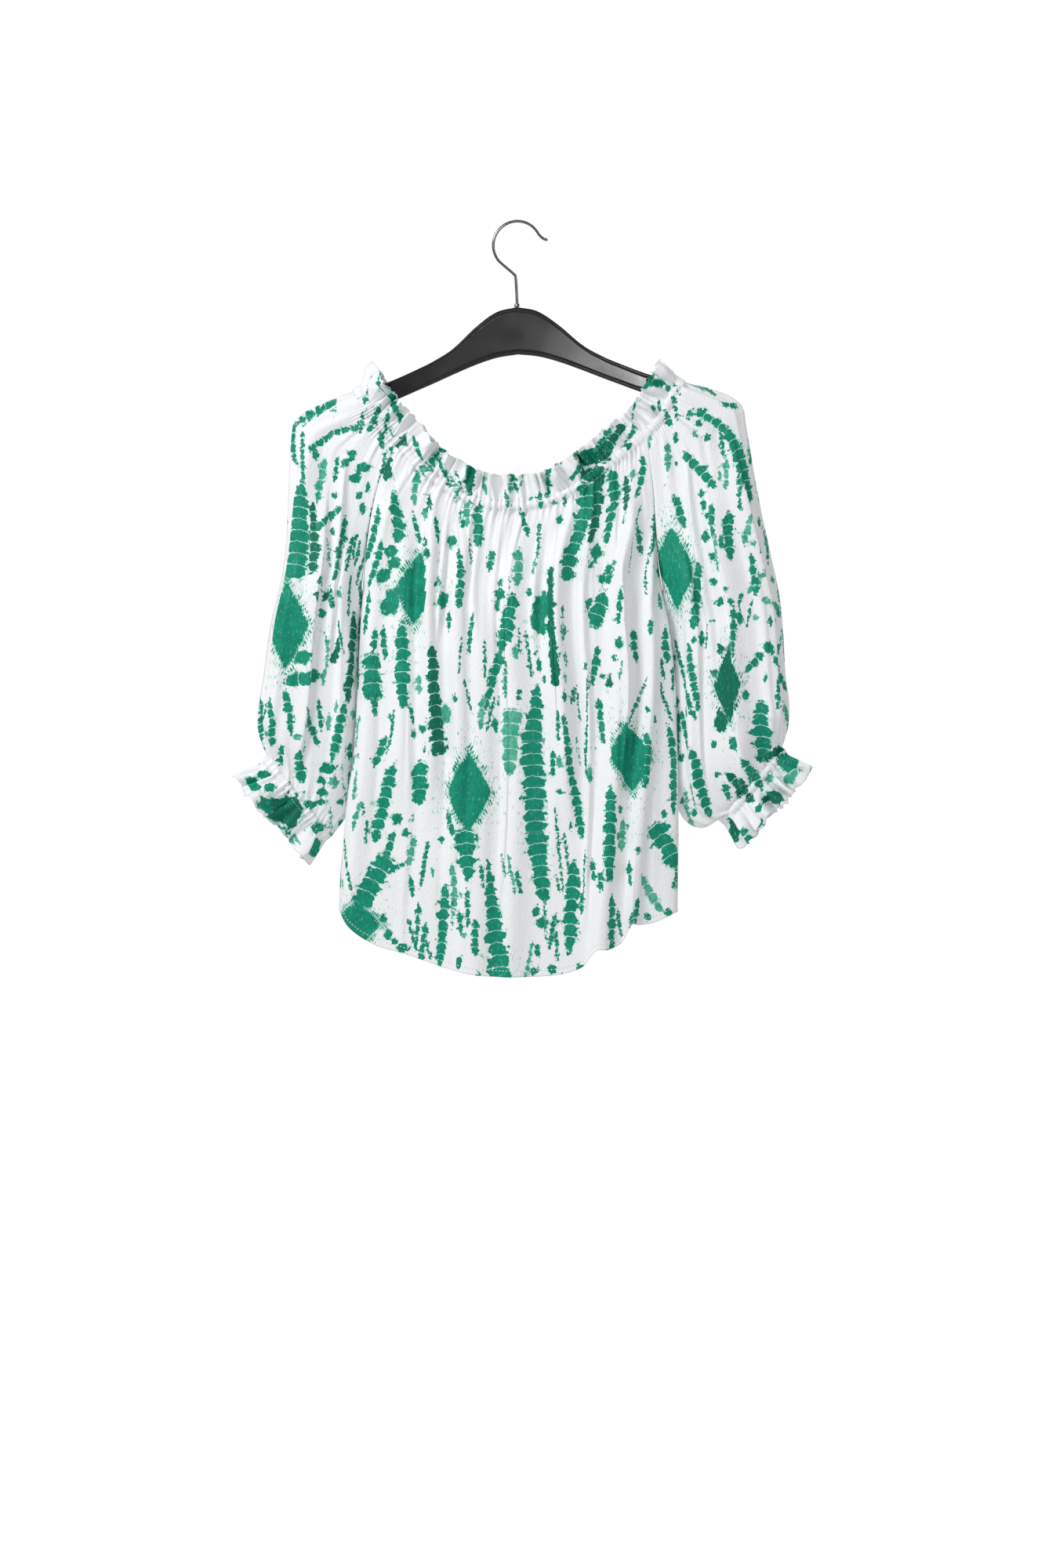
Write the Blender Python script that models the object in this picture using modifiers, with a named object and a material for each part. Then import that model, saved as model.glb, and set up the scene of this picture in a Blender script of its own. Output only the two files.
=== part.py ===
"""Off-shoulder blouse with a frilled elastic neckline, raglan sleeves with frilled
elastic cuffs and a curved hem, hung on a plastic hanger with a wire hook.

Metres, +Z up. The origin is the inner top of the hook, where the rail carries it.
The front of the blouse faces -Y. Left and right are the wearer's, so the right
sleeve is at -X.
"""

import math

import bmesh
import bpy
from mathutils import Matrix, Vector

MM = 0.001

# Cloth
CLOTH_WALL = 1.2 * MM  # satin as a printable wall
FLAT_SEAM = 0.6 * MM  # from a seam's line to the edge of each cloth, where the two lie in line
SHARP_SEAM = 1.6 * MM  # the same where they turn away side by side, at the underarm
FRILL_HEIGHT = 30 * MM
CHANNEL_HEIGHT = 9 * MM  # the band that the elastic pulls in
CUFF_CHANNEL = 8 * MM
CUFF_FRILL = 32 * MM

# Gathers: how many waves each edge has
FRONT_GATHERS = 21
BACK_GATHERS = 20
SLEEVE_GATHERS = 10
STEPS_PER_GATHER = 3

# Depth of the hanging cloth, from the middle plane to one sheet
NECK_DEPTH = 15 * MM
CHEST_DEPTH = 24 * MM
HEM_DEPTH = 21 * MM
ARM_DEPTH = 15 * MM
SLEEVE_DEPTH = 26 * MM
CUFF_DEPTH = 15 * MM

# Below the underarm the body's sides hang in front of the sleeves' inner sides
BODY_SIDE_FORWARD = 7 * MM
SLEEVE_SIDE_BACK = 12 * MM

# Hanger
HANGER_TOP = -82.4 * MM
HANGER_HALF_DEPTH = 5 * MM
HANGER_EDGE = 1.4 * MM
HANGER_RIM = 4 * MM  # width of the raised edge round each face
HANGER_RECESS = 1.6 * MM
HANGER_TILT = math.radians(1.7)  # the wearer's left end hangs higher
WIRE_RADIUS = 1.4 * MM
HOOK_RADIUS = 23.5 * MM
CLEARANCE = 0.3 * MM

# Where the elastic of the neckline runs, from the top of the wearer's right arm of
# the hanger, round the front, to the top of the left one. x and z in mm.
NECKLINE = (
    (-154, -164),
    (-146, -178),
    (-135, -194),
    (-115, -215),
    (-85, -246),
    (-45, -269.5),
    (-10, -275.5),
    (24, -273),
    (50, -263),
    (73, -247.5),
    (95, -230.5),
    (124, -207),
    (139, -191),
    (150, -171.5),
    (160, -155),
)
RIGHT_RAGLAN_ROW = 3
LEFT_RAGLAN_ROW = 11

# Seams in x and z, mm. The raglan seams start at the neckline and end at the underarm.
RIGHT_RAGLAN = ((-134, -253), (-145, -304), (-151, -363))
LEFT_RAGLAN = ((133, -262), (136, -315), (143, -363))
RIGHT_SIDE = ((-151, -363), (-153, -400), (-155, -441), (-159, -509), (-166, -568),
              (-172, -636), (-173, -668))
LEFT_SIDE = ((143, -363), (150, -400), (155, -450), (157, -516), (158, -590), (157, -670))

# The hems, from the wearer's right side seam to the left one. Two long folds lift both
# in steps near the wearer's left.
FRONT_HEM = ((-173, -668), (-160, -687), (-137, -702), (-106, -711), (-68, -724), (-30, -731.5),
             (31, -731.5), (62, -724), (74, -711), (100, -701), (110, -685), (134, -680),
             (157, -670))
BACK_HEM = ((-173, -668), (-160, -685), (-137, -700), (-106, -709), (-68, -722), (-30, -730),
            (31, -730), (60, -721), (74, -707), (98, -697), (112, -682), (134, -678),
            (157, -670))

# Outer line of each sleeve from the neckline to the cuff's elastic, and inner line
# from the underarm to it.
RIGHT_OUTER = ((-154, -164), (-183, -174.9), (-203, -184), (-214, -192.5), (-218, -207),
               (-221, -256), (-227, -333), (-240, -392), (-247, -441), (-253, -478),
               (-251, -497), (-242, -519))
RIGHT_INNER = ((-151, -363), (-153, -395), (-152, -440), (-154, -500), (-159, -550),
               (-166, -577), (-179, -597))
LEFT_OUTER = ((160, -155), (190, -164.6), (207, -172), (217, -181), (221, -200),
              (231, -252), (246, -318), (257, -372), (262, -438), (266, -470),
              (264, -495), (257, -510))
LEFT_INNER = ((143, -363), (152, -395), (153, -440), (154, -500), (156, -550), (164, -580),
              (180, -590), (196, -582))
SLEEVE_UNDERARM = 0.60  # share of the outer line that lies level with the underarm

# Long folds. neck and hem: the place across, 0 at the wearer's right seam and 1 at the
# left. width, forward and lean in mm. begins and ends: shares of the way down.
FRONT_FOLDS = (
    # neck, hem, width, forward, lean, begins, ends
    (0.060, 0.050, 12, 6, -3, 0.04, 1.2),
    (0.135, 0.165, 9, 5, 3, 0.10, 0.80),
    (0.200, 0.240, 10, 9, 7, 0.02, 0.80),
    (0.305, 0.320, 11, 8, 6, 0.03, 0.90),
    (0.405, 0.400, 15, 6, 2, 0.22, 1.2),
    (0.500, 0.510, 11, 6, -4, 0.04, 1.2),
    (0.675, 0.650, 12, 10, -9, 0.03, 0.80),
    (0.950, 0.730, 14, 10, 10, 0.06, 1.2),
    (1.090, 0.845, 12, 9, 9, 0.16, 1.2),
)
BACK_FOLDS = (
    (0.070, 0.090, 12, 7, 4, 0.06, 1.2),
    (0.190, 0.230, 12, 8, -6, 0.03, 1.2),
    (0.330, 0.320, 10, 7, 5, 0.04, 0.80),
    (0.440, 0.450, 14, 6, -3, 0.20, 1.2),
    (0.560, 0.580, 11, 8, 7, 0.03, 0.95),
    (0.700, 0.690, 12, 7, -6, 0.05, 0.85),
    (0.820, 0.800, 13, 8, 5, 0.04, 1.2),
    (0.940, 0.920, 11, 7, -4, 0.06, 1.2),
)
# On a sleeve the place runs from the back seam over the outer line to the front seam.
SLEEVE_FOLDS = (
    (0.140, 0.160, 10, 6, 3, 0.10, 0.95),
    (0.270, 0.240, 9, 6, -4, 0.25, 0.98),
    (0.370, 0.400, 9, 5, 3, 0.30, 0.98),
    (0.620, 0.600, 9, 5, -4, 0.12, 0.98),
    (0.730, 0.720, 10, 6, 5, 0.20, 0.98),
    (0.850, 0.860, 10, 6, -4, 0.30, 0.98),
)

# Rows of the cloth grids, measured down the seams: 0 at the neckline's elastic, 1 at the
# underarm and 2 at the hem or at the cuff's elastic. All four cloths share the upper rows.
RAGLAN_ROWS = (0.0, 0.10, 0.20, 0.30, 0.42, 0.58, 0.78, 1.0)
BODY_ROWS = (1.16, 1.36, 1.57, 1.79, 2.0)
SLEEVE_ROWS = (1.12, 1.28, 1.45, 1.62, 1.76, 1.87, 1.95, 2.0)
# Rows above the neckline's elastic and beyond the cuff's, measured from their middle.
NECK_BAND = (FRILL_HEIGHT, FRILL_HEIGHT * 0.55, CHANNEL_HEIGHT / 2)
CUFF_BAND = (CUFF_CHANNEL, CUFF_CHANNEL + CUFF_FRILL * 0.45, CUFF_CHANNEL + CUFF_FRILL)


def clear_scene():
    for item in list(bpy.data.objects):
        bpy.data.objects.remove(item)


def mix(a, b, share):
    return a + (b - a) * share


def ease(low, high, value):
    """0 below low, 1 above high, smooth between."""
    share = min(1.0, max(0.0, (value - low) / (high - low)))
    return share * share * (3 - 2 * share)


class Path:
    """A smooth curve through rows of (x, z) in mm, read by its share of length."""

    STEPS = 16

    def __init__(self, rows):
        ends = [Vector(row) * MM for row in rows]
        points = [ends[0] * 2 - ends[1], *ends, ends[-1] * 2 - ends[-2]]
        self.line = [ends[0]]
        for before, a, b, after in zip(points, points[1:], points[2:], points[3:]):
            for step in range(1, self.STEPS + 1):
                t = step / self.STEPS
                self.line.append(0.5 * (2 * a + (b - before) * t
                                        + (2 * before - 5 * a + 4 * b - after) * t ** 2
                                        + (3 * a - before - 3 * b + after) * t ** 3))
        self.lengths = [0.0]
        for a, b in zip(self.line, self.line[1:]):
            self.lengths.append(self.lengths[-1] + (b - a).length)
        self.length = self.lengths[-1]

    def share_at_row(self, row):
        return self.lengths[row * self.STEPS] / self.length

    def at(self, share):
        wanted = min(1.0, max(0.0, share)) * self.length
        i = 1
        while i < len(self.lengths) - 1 and self.lengths[i] < wanted:
            i += 1
        span = self.lengths[i] - self.lengths[i - 1]
        return self.line[i - 1].lerp(self.line[i], (wanted - self.lengths[i - 1]) / span)

    def along(self, share):
        step = 0.004
        return (self.at(share + step) - self.at(share - step)).normalized()


NECK = Path(NECKLINE)
RIGHT_START = NECK.share_at_row(RIGHT_RAGLAN_ROW)
LEFT_START = NECK.share_at_row(LEFT_RAGLAN_ROW)


def neck_at(share, height=0.0):
    """The neckline at a share round its front: x, depth from the middle plane, and z."""
    flat = NECK.at(share)
    from_end = min(share, 1 - share) * NECK.length
    depth = NECK_DEPTH * (1 - math.exp(-from_end / (5 * MM)))
    return Vector((flat.x, depth, flat.y)) + neck_up(share) * height


def neck_up(share):
    """The direction in the plane of the blouse that the frill stands in."""
    along = NECK.along(share)
    return Vector((-along.y, 0, along.x))


def raglan_path(start_share, rows):
    """The raglan seam's line, from the lower edge of the neckline's channel to the underarm."""
    start = neck_at(start_share, -CHANNEL_HEIGHT / 2)
    return Path([(start.x / MM, start.z / MM), *rows])


def down_seam(raglan, lower, down):
    """A seam's line at a row: the raglan seam above the underarm, then the seam below it."""
    return raglan.at(down) if down <= 1 else lower.at(down - 1)


def openness(down):
    """1 at the neckline, where front and back lie apart, and 0 from the underarm down."""
    return 1 - min(1, down) ** 1.5


def fold_at(folds, across, down, cloth_width):
    """How far the long folds push the cloth out, and how far they lean along it."""
    share = down / 2
    push = lean = 0.0
    for neck, hem, width, forward, side, begins, ends in folds:
        centre = mix(hem, neck, (1 - share) ** 1.6)
        offset = (across - centre) * cloth_width / (width * MM)
        strength = math.exp(-offset * offset)
        strength *= ease(begins, begins + 0.2, share) * (1 - ease(ends - 0.15, ends, share))
        push += forward * MM * strength
        lean += side * MM * strength
    return push, lean


def gather_wave(across, gathers):
    """A wave of uneven length and height with whole gathers across the edge."""
    uneven = 0.5 * math.sin(2 * math.pi * across * 2) + 0.3 * math.sin(2 * math.pi * across * 5)
    height = 1 + 0.25 * math.sin(2 * math.pi * across * 3 + 1)
    return height * math.cos(2 * math.pi * gathers * across + uneven)


def neck_wave_depth(height):
    """How deep the gathers are at a height above the neckline's elastic."""
    above = max(0.0, height - CHANNEL_HEIGHT / 2) / (FRILL_HEIGHT - CHANNEL_HEIGHT / 2)
    return mix(0.9, 3.6, above) * MM


def neck_lean(height):
    """How far the frill leans outwards at a height above the elastic."""
    return 0.10 * max(0.0, height)


def directions(base, across, down):
    """Unit vectors along a cloth and out of it."""
    step = 0.004
    along = base(min(1, across + step), down) - base(max(0, across - step), down)
    below = base(across, min(2, down + step)) - base(across, max(0, down - step))
    return along.normalized(), below.cross(along).normalized()


def make_cloth(name, columns, rows, point_at):
    """A grid of cloth, its points placed by point_at(across, row), with a wall by Solidify."""
    mesh = bpy.data.meshes.new(name)
    sheet = bmesh.new()
    bmesh.ops.create_grid(sheet, x_segments=columns, y_segments=len(rows) - 1, size=0.5)
    for vert in sheet.verts:
        across = vert.co.x + 0.5
        row = rows[round((0.5 - vert.co.y) * (len(rows) - 1))]
        vert.co = point_at(across, row)
    sheet.to_mesh(mesh)
    sheet.free()
    mesh.shade_smooth()
    mesh.materials.append(material("Printed satin", (0.80, 0.82, 0.82), 0.45, 0.0))
    cloth = bpy.data.objects.new(name, mesh)
    wall = cloth.modifiers.new("Wall", "SOLIDIFY")
    wall.thickness = CLOTH_WALL
    wall.offset = 0
    return cloth


def material(name, colour, roughness, metallic):
    found = bpy.data.materials.get(name)
    if found:
        return found
    made = bpy.data.materials.new(name)
    made.use_nodes = True
    shader = made.node_tree.nodes["Principled BSDF"]
    shader.inputs["Base Color"].default_value = (*colour, 1)
    shader.inputs["Roughness"].default_value = roughness
    shader.inputs["Metallic"].default_value = metallic
    return made


def body_panel(name, front, gathers, folds):
    """Front or back: a four-sided patch between the elastic, two seams and the hem."""
    sign = -1 if front else 1
    right_raglan = raglan_path(RIGHT_START, RIGHT_RAGLAN)
    left_raglan = raglan_path(LEFT_START, LEFT_RAGLAN)
    right_side = Path(RIGHT_SIDE)
    left_side = Path(LEFT_SIDE)
    hem = Path(FRONT_HEM if front else BACK_HEM)
    seam_length = right_raglan.length + right_side.length
    cloth_width = right_side.at(0.5).x * -1 + left_side.at(0.5).x

    def neck_share(across):
        return mix(RIGHT_START, LEFT_START, across)

    def share_down(down):
        upper = min(1, down) * right_raglan.length
        return (upper + max(0, down - 1) * right_side.length) / seam_length

    def sag(across, line_at):
        return line_at(across) - mix(line_at(0), line_at(1), across)

    def top_line(across):
        top = neck_at(neck_share(across), -CHANNEL_HEIGHT / 2)
        return Vector((top.x, top.z))

    def depth_at(across, down):
        share = share_down(down)
        seam = NECK_DEPTH * openness(down)
        middle = mix(NECK_DEPTH, CHEST_DEPTH, ease(0.0, 0.35, share))
        middle = mix(middle, HEM_DEPTH, ease(0.6, 1.0, share))
        turn = abs(2 * across - 1)
        rounded = (1 - turn ** 2.6) ** (1 / 2.6)
        shape = mix(rounded, 1 - turn ** 3, openness(down))
        return seam + (middle - seam) * shape

    def base(across, down):
        right = down_seam(right_raglan, right_side, down)
        left = down_seam(left_raglan, left_side, down)
        share = share_down(down)
        flat = mix(right, left, across) + sag(across, top_line) * (1 - share)
        flat += sag(across, hem.at) * share
        depth = depth_at(across, down)
        from_neck = neck_at(neck_share(across), -CHANNEL_HEIGHT / 2).y - depth_at(across, 0)
        depth += from_neck * (1 - ease(0, 0.35, down))
        forward = BODY_SIDE_FORWARD * ease(1, 1.16, down) * abs(2 * across - 1) ** 6
        return Vector((flat.x, sign * depth - forward, flat.y))

    def seam_inset(across, down):
        """Draws an edge in from its seam's line."""
        near = abs(2 * across - 1) ** 8
        inward = 1 if across < 0.5 else -1
        gap = mix(SHARP_SEAM, FLAT_SEAM, openness(down))
        return Vector((inward * gap, sign * FLAT_SEAM * 1.3 * (1 - openness(down)), 0)) * near

    def point_at(across, row):
        kind, value = row
        wave = gather_wave(across, gathers)
        if kind == "band":
            place = neck_at(neck_share(across), value)
            wave *= 1 - 0.8 * abs(2 * across - 1) ** 8
            place.y = sign * (place.y + wave * neck_wave_depth(value) + neck_lean(value))
            return place + seam_inset(across, 0)
        along, out = directions(base, across, value)
        if out.y * sign < 0:
            out.negate()
        calm = 1 - abs(2 * across - 1) ** 10
        depth = mix(mix(2.6, 0.4, ease(0.15, 1.3, value)), 0.9, 1 - ease(0, 0.1, value)) * MM
        edge = mix(calm, 1 - 0.8 * (1 - calm), 1 - ease(0, 0.2, value))
        push, lean = fold_at(folds, across, value, cloth_width)
        place = base(across, value) + out * (wave * depth * edge + push * calm)
        return place + along * lean * calm + seam_inset(across, value)

    rows = [("band", height) for height in NECK_BAND]
    rows += [("panel", down) for down in RAGLAN_ROWS + BODY_ROWS]
    return make_cloth(name, gathers * STEPS_PER_GATHER, rows, point_at)


def sleeve(name, wearer_right, folds):
    """A raglan sleeve: a tube closed along the underarm seam and open to the body above it."""
    side = -1 if wearer_right else 1
    outer = Path(RIGHT_OUTER if wearer_right else LEFT_OUTER)
    inner = Path(RIGHT_INNER if wearer_right else LEFT_INNER)
    start = RIGHT_START if wearer_right else LEFT_START
    raglan = raglan_path(start, RIGHT_RAGLAN if wearer_right else LEFT_RAGLAN)
    cloth_width = 2 * (outer.at(0.7) - inner.at(0.3)).length

    def neck_share(across):
        turn = abs(2 * across - 1)
        return start * turn if wearer_right else 1 - (1 - start) * turn

    def ring(across, height):
        """The neckline over the hanger's arm."""
        place = neck_at(neck_share(across), height)
        if across > 0.5:
            place.y = -place.y
        return place

    def ring_out(across):
        step = 0.01
        round_it = ring(min(1, across + step), 0) - ring(max(0, across - step), 0)
        return round_it.cross(neck_up(neck_share(across))).normalized() * -side

    def section(across, down):
        turn = abs(2 * across - 1)
        sign = -1 if across > 0.5 else 1
        along = mix((1 - math.cos(math.pi * turn)) / 2, turn, 0.35)
        out_share = mix(0, SLEEVE_UNDERARM, down) if down < 1 else mix(SLEEVE_UNDERARM, 1, down - 1)
        flat = mix(outer.at(out_share), down_seam(raglan, inner, down), along)
        depth = mix(ARM_DEPTH, SLEEVE_DEPTH, ease(0.3, 1.2, down))
        depth = mix(depth, CUFF_DEPTH, ease(1.7, 2.0, down))
        power = mix(3.0, 2.2, ease(0.4, 1.0, down))
        rounded = (1 - abs(2 * along - 1) ** power) ** (1 / power)
        if along > 0.5:
            seam = NECK_DEPTH * openness(down) / depth
            rounded = seam + (1 - seam) * mix(rounded, 1 - ease(0.5, 1, along), openness(down))
        behind = SLEEVE_SIDE_BACK * ease(1, 1.2, down) * along ** 2
        return Vector((flat.x, sign * depth * rounded + behind, flat.y))

    def base(across, down):
        from_ring = ring(across, -CHANNEL_HEIGHT / 2) - section(across, 0)
        return section(across, down) + from_ring * (1 - ease(0, 0.35, down))

    def seam_inset(across, down):
        """Draws an edge out from its seam's line."""
        near = abs(2 * across - 1) ** 8
        sign = -1 if across > 0.5 else 1
        gap = mix(SHARP_SEAM, FLAT_SEAM, openness(down))
        return Vector((side * gap, sign * FLAT_SEAM * 1.3 * (1 - openness(down)), 0)) * near

    cuff_line = (inner.at(1) - outer.at(1)).normalized()
    opening = Vector((cuff_line.y, 0, -cuff_line.x))
    if opening.z > 0:
        opening.negate()
    cuff_middle = (outer.at(1) + inner.at(1)) / 2
    cuff_middle = Vector((cuff_middle.x, SLEEVE_SIDE_BACK / 2, cuff_middle.y))

    def cuff_point(across, height, wave):
        at = base(across, 2) - cuff_middle
        flare = max(0, height - CUFF_CHANNEL) / CUFF_FRILL
        spread = at * mix(1, 1.28, flare)
        out = Vector((at.x * 0.25, at.y, at.z * 0.25)).normalized()
        depth = mix(1.0, 4.6, flare) * MM
        return cuff_middle + spread + out * depth * wave + opening * height

    def point_at(across, row):
        kind, value = row
        wave = gather_wave(across, SLEEVE_GATHERS)
        turn = abs(2 * across - 1)
        calm = 1 - turn ** 10
        lift = 1.2  # over the hanger the gathers only stand outwards
        if kind == "band":
            place = ring(across, value)
            wave *= 1 - 0.8 * turn ** 8
            wave += lift * (1 - ease(0.15, 0.4, turn))
            place += ring_out(across) * (wave * neck_wave_depth(value) + neck_lean(value))
            return place + seam_inset(across, 0)
        if kind == "cuff":
            return cuff_point(across, value, wave * calm) + seam_inset(across, 2)
        along, out = directions(base, across, value)
        sign = -1 if across > 0.5 else 1
        wave += lift * (1 - ease(0.15, 0.4, turn)) * (1 - ease(0.4, 0.8, value))
        if (out.y * sign < 0 and turn > 0.15) or (turn <= 0.15 and out.x * side < 0):
            out.negate()
        near_neck = 1 - ease(0.1, 0.8, value)
        near_cuff = ease(1.6, 1.9, value)
        depth = mix(0.5, 2.8, max(near_neck, near_cuff))
        depth = mix(depth, 0.9, max(1 - ease(0, 0.1, value), ease(1.9, 2, value))) * MM
        edge = mix(calm, 1 - 0.8 * (1 - calm), 1 - ease(0, 0.2, value))
        push, lean = fold_at(folds, across, value, cloth_width)
        place = base(across, value) + out * (wave * depth * edge + push * calm)
        return place + along * lean * calm + seam_inset(across, value)

    rows = [("band", height) for height in NECK_BAND]
    rows += [("panel", down) for down in RAGLAN_ROWS + SLEEVE_ROWS]
    rows += [("cuff", height) for height in CUFF_BAND]
    return make_cloth(name, SLEEVE_GATHERS * STEPS_PER_GATHER, rows, point_at)


# Half of the hanger's outline, in mm from its centre: how far out, the top edge, the bottom edge.
HANGER_SHAPE = (
    (0, 0.0, 46.0),
    (20, 4.4, 48.6),
    (40, 18.0, 54.5),
    (63, 38.5, 63.5),
    (82, 50.0, 71.5),
    (97, 57.0, 77.5),
    (121, 67.0, 87.0),
    (154, 78.6, 98.0),
    (183, 88.6, 107.0),
    (199, 95.5, 111.5),
    (203, 99.5, 109.0),
)
HANGER_STEPS = 12


def hanger_outline(inset, until):
    """The hanger's outline as (x, z) points, drawn in by inset and cut off at until."""
    top = Path([(out, -drop) for out, drop, _ in HANGER_SHAPE])
    bottom = Path([(out, -low) for out, _, low in HANGER_SHAPE])
    half_top = [top.at(i / HANGER_STEPS) for i in range(HANGER_STEPS + 1)]
    half_bottom = [bottom.at(i / HANGER_STEPS) for i in range(HANGER_STEPS + 1)]
    half_top = [Vector((p.x, p.y - inset)) for p in half_top if p.x <= until]
    half_bottom = [Vector((p.x, p.y + inset)) for p in half_bottom if p.x <= until]
    mirrored_top = [Vector((-p.x, p.y)) for p in reversed(half_top[1:])]
    mirrored_bottom = [Vector((-p.x, p.y)) for p in half_bottom[1:]]
    return mirrored_top + half_top + list(reversed(half_bottom)) + mirrored_bottom


def flat_outline(name, outline, half_thickness, edge):
    """A filled flat curve stood up in the x-z plane, as a mesh with welded caps."""
    curve = bpy.data.curves.new(name, "CURVE")
    curve.dimensions = "2D"
    curve.fill_mode = "BOTH"
    curve.extrude = half_thickness - edge
    curve.bevel_depth = edge
    curve.bevel_resolution = 0
    curve.offset = -edge
    line = curve.splines.new("POLY")
    line.points.add(len(outline) - 1)
    for point, place in zip(line.points, outline):
        point.co = (place.x, place.y, 0, 1)
    line.use_cyclic_u = True
    guide = bpy.data.objects.new(name + "_guide", curve)
    bpy.context.scene.collection.objects.link(guide)
    return as_mesh(guide, name, Matrix.Rotation(math.radians(90), 4, "X"))


def as_mesh(guide, name, turn=None):
    """The evaluated curve as a mesh object with its caps welded; the curve is removed."""
    graph = bpy.context.evaluated_depsgraph_get()
    mesh = bpy.data.meshes.new_from_object(guide.evaluated_get(graph))
    welded = bmesh.new()
    welded.from_mesh(mesh)
    bmesh.ops.remove_doubles(welded, verts=welded.verts, dist=0.00001)
    bmesh.ops.recalc_face_normals(welded, faces=welded.faces)
    welded.to_mesh(mesh)
    welded.free()
    mesh.name = name
    made = bpy.data.objects.new(name, mesh)
    made.matrix_world = turn or guide.matrix_world
    bpy.data.objects.remove(guide)
    return made


def cut(target, cutter):
    cutter.hide_render = True
    cutter.display_type = "WIRE"
    taken = target.modifiers.new("Cut " + cutter.name, "BOOLEAN")
    taken.operation = "DIFFERENCE"
    taken.object = cutter


def hanger_body(parts, cutters):
    """The moulded hanger: two sloping arms with a raised edge round each face."""
    body = flat_outline("hanger_body", hanger_outline(0, 1), HANGER_HALF_DEPTH, HANGER_EDGE)
    body.data.materials.append(material("Black plastic", (0.012, 0.013, 0.015), 0.38, 0.0))
    place = Matrix.Translation((0, 0, HANGER_TOP)) @ Matrix.Rotation(-HANGER_TILT, 4, "Y")
    body.matrix_world = place @ body.matrix_world
    parts.objects.link(body)
    for name, sign in (("front_recess", -1), ("back_recess", 1)):
        recess = flat_outline(name, hanger_outline(HANGER_RIM, 0.196), HANGER_RECESS, 0.0)
        slide = Matrix.Translation((0, sign * HANGER_HALF_DEPTH, 0))
        recess.matrix_world = place @ slide @ recess.matrix_world
        cutters.objects.link(recess)
        cut(body, recess)
    socket = round_bar("shank_socket", WIRE_RADIUS + CLEARANCE, 0.034)
    socket.location = (0.0004, 0, HANGER_TOP)
    cutters.objects.link(socket)
    cut(body, socket)
    return body


def round_bar(name, radius, height):
    mesh = bpy.data.meshes.new(name)
    bar = bmesh.new()
    bmesh.ops.create_cone(bar, cap_ends=True, segments=16, radius1=radius, radius2=radius, depth=height)
    bar.to_mesh(mesh)
    bar.free()
    return bpy.data.objects.new(name, mesh)


def hook_line():
    """The bent wire: shank, slanting neck, three quarters of a circle and a lip that turns out."""
    centre = Vector((0.8 * MM, WIRE_RADIUS - HOOK_RADIUS))
    line = [Vector((0.4, -98)) * MM, Vector((0.4, -78)) * MM, Vector((-0.9, -54)) * MM,
            Vector((-2.6, -50.2)) * MM, Vector((-8.0, -45.4)) * MM]
    for step in range(17):
        angle = math.radians(mix(222, 27, step / 16))
        line.append(centre + Vector((math.cos(angle), math.sin(angle))) * HOOK_RADIUS)
    line.append(Vector((24.6, -14.4)) * MM)
    line.append(Vector((27.4, -16.2)) * MM)
    line.append(Vector((30.6, -16.8)) * MM)
    return line


def hanger_hook(parts):
    curve = bpy.data.curves.new("hanger_hook", "CURVE")
    curve.dimensions = "3D"
    curve.bevel_depth = WIRE_RADIUS
    curve.bevel_resolution = 2
    curve.use_fill_caps = True
    points = hook_line()
    line = curve.splines.new("POLY")
    line.points.add(len(points) - 1)
    for point, place in zip(line.points, points):
        point.co = (place.x, 0, place.y, 1)
    hook = bpy.data.objects.new("hanger_hook", curve)
    curve.materials.append(material("Chromed wire", (0.60, 0.60, 0.63), 0.12, 1.0))
    parts.objects.link(hook)


def hook_collar(parts):
    """The small turned collar where the shank enters the hanger."""
    profile = ((2.0, 3.6), (2.6, 3.2), (2.6, 1.2), (3.2, 0.3), (2.0, 0.3))
    mesh = bpy.data.meshes.new("hook_collar")
    turned = bmesh.new()
    verts = [turned.verts.new((radius * MM, 0, height * MM)) for radius, height in profile]
    for a, b in zip(verts, verts[1:] + verts[:1]):
        turned.edges.new((a, b))
    turned.to_mesh(mesh)
    turned.free()
    collar = bpy.data.objects.new("hook_collar", mesh)
    screw = collar.modifiers.new("Turn", "SCREW")
    screw.steps = 20
    screw.render_steps = 20
    screw.use_merge_vertices = True
    screw.merge_threshold = 0.00001
    collar.location = (0.0004, 0, HANGER_TOP)
    mesh.materials.append(material("Chromed wire", (0.60, 0.60, 0.63), 0.12, 1.0))
    parts.objects.link(collar)


def main():
    clear_scene()
    parts = bpy.data.collections.new("Off-shoulder blouse on a hanger")
    cutters = bpy.data.collections.new("Cutters")
    for group in (parts, cutters):
        bpy.context.scene.collection.children.link(group)
    parts.objects.link(body_panel("front_panel", True, FRONT_GATHERS, FRONT_FOLDS))
    parts.objects.link(body_panel("back_panel", False, BACK_GATHERS, BACK_FOLDS))
    parts.objects.link(sleeve("right_sleeve", True, SLEEVE_FOLDS))
    parts.objects.link(sleeve("left_sleeve", False, SLEEVE_FOLDS))
    hanger_body(parts, cutters)
    hanger_hook(parts)
    hook_collar(parts)


main()
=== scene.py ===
"""Off-shoulder blouse of white hammered satin with a green tie-dye print, on a hanger.

Metres, +Z up, the origin at the inner top of the hook. The front faces -Y, and left
and right are the wearer's, so the right sleeve is at -X.
"""

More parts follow.
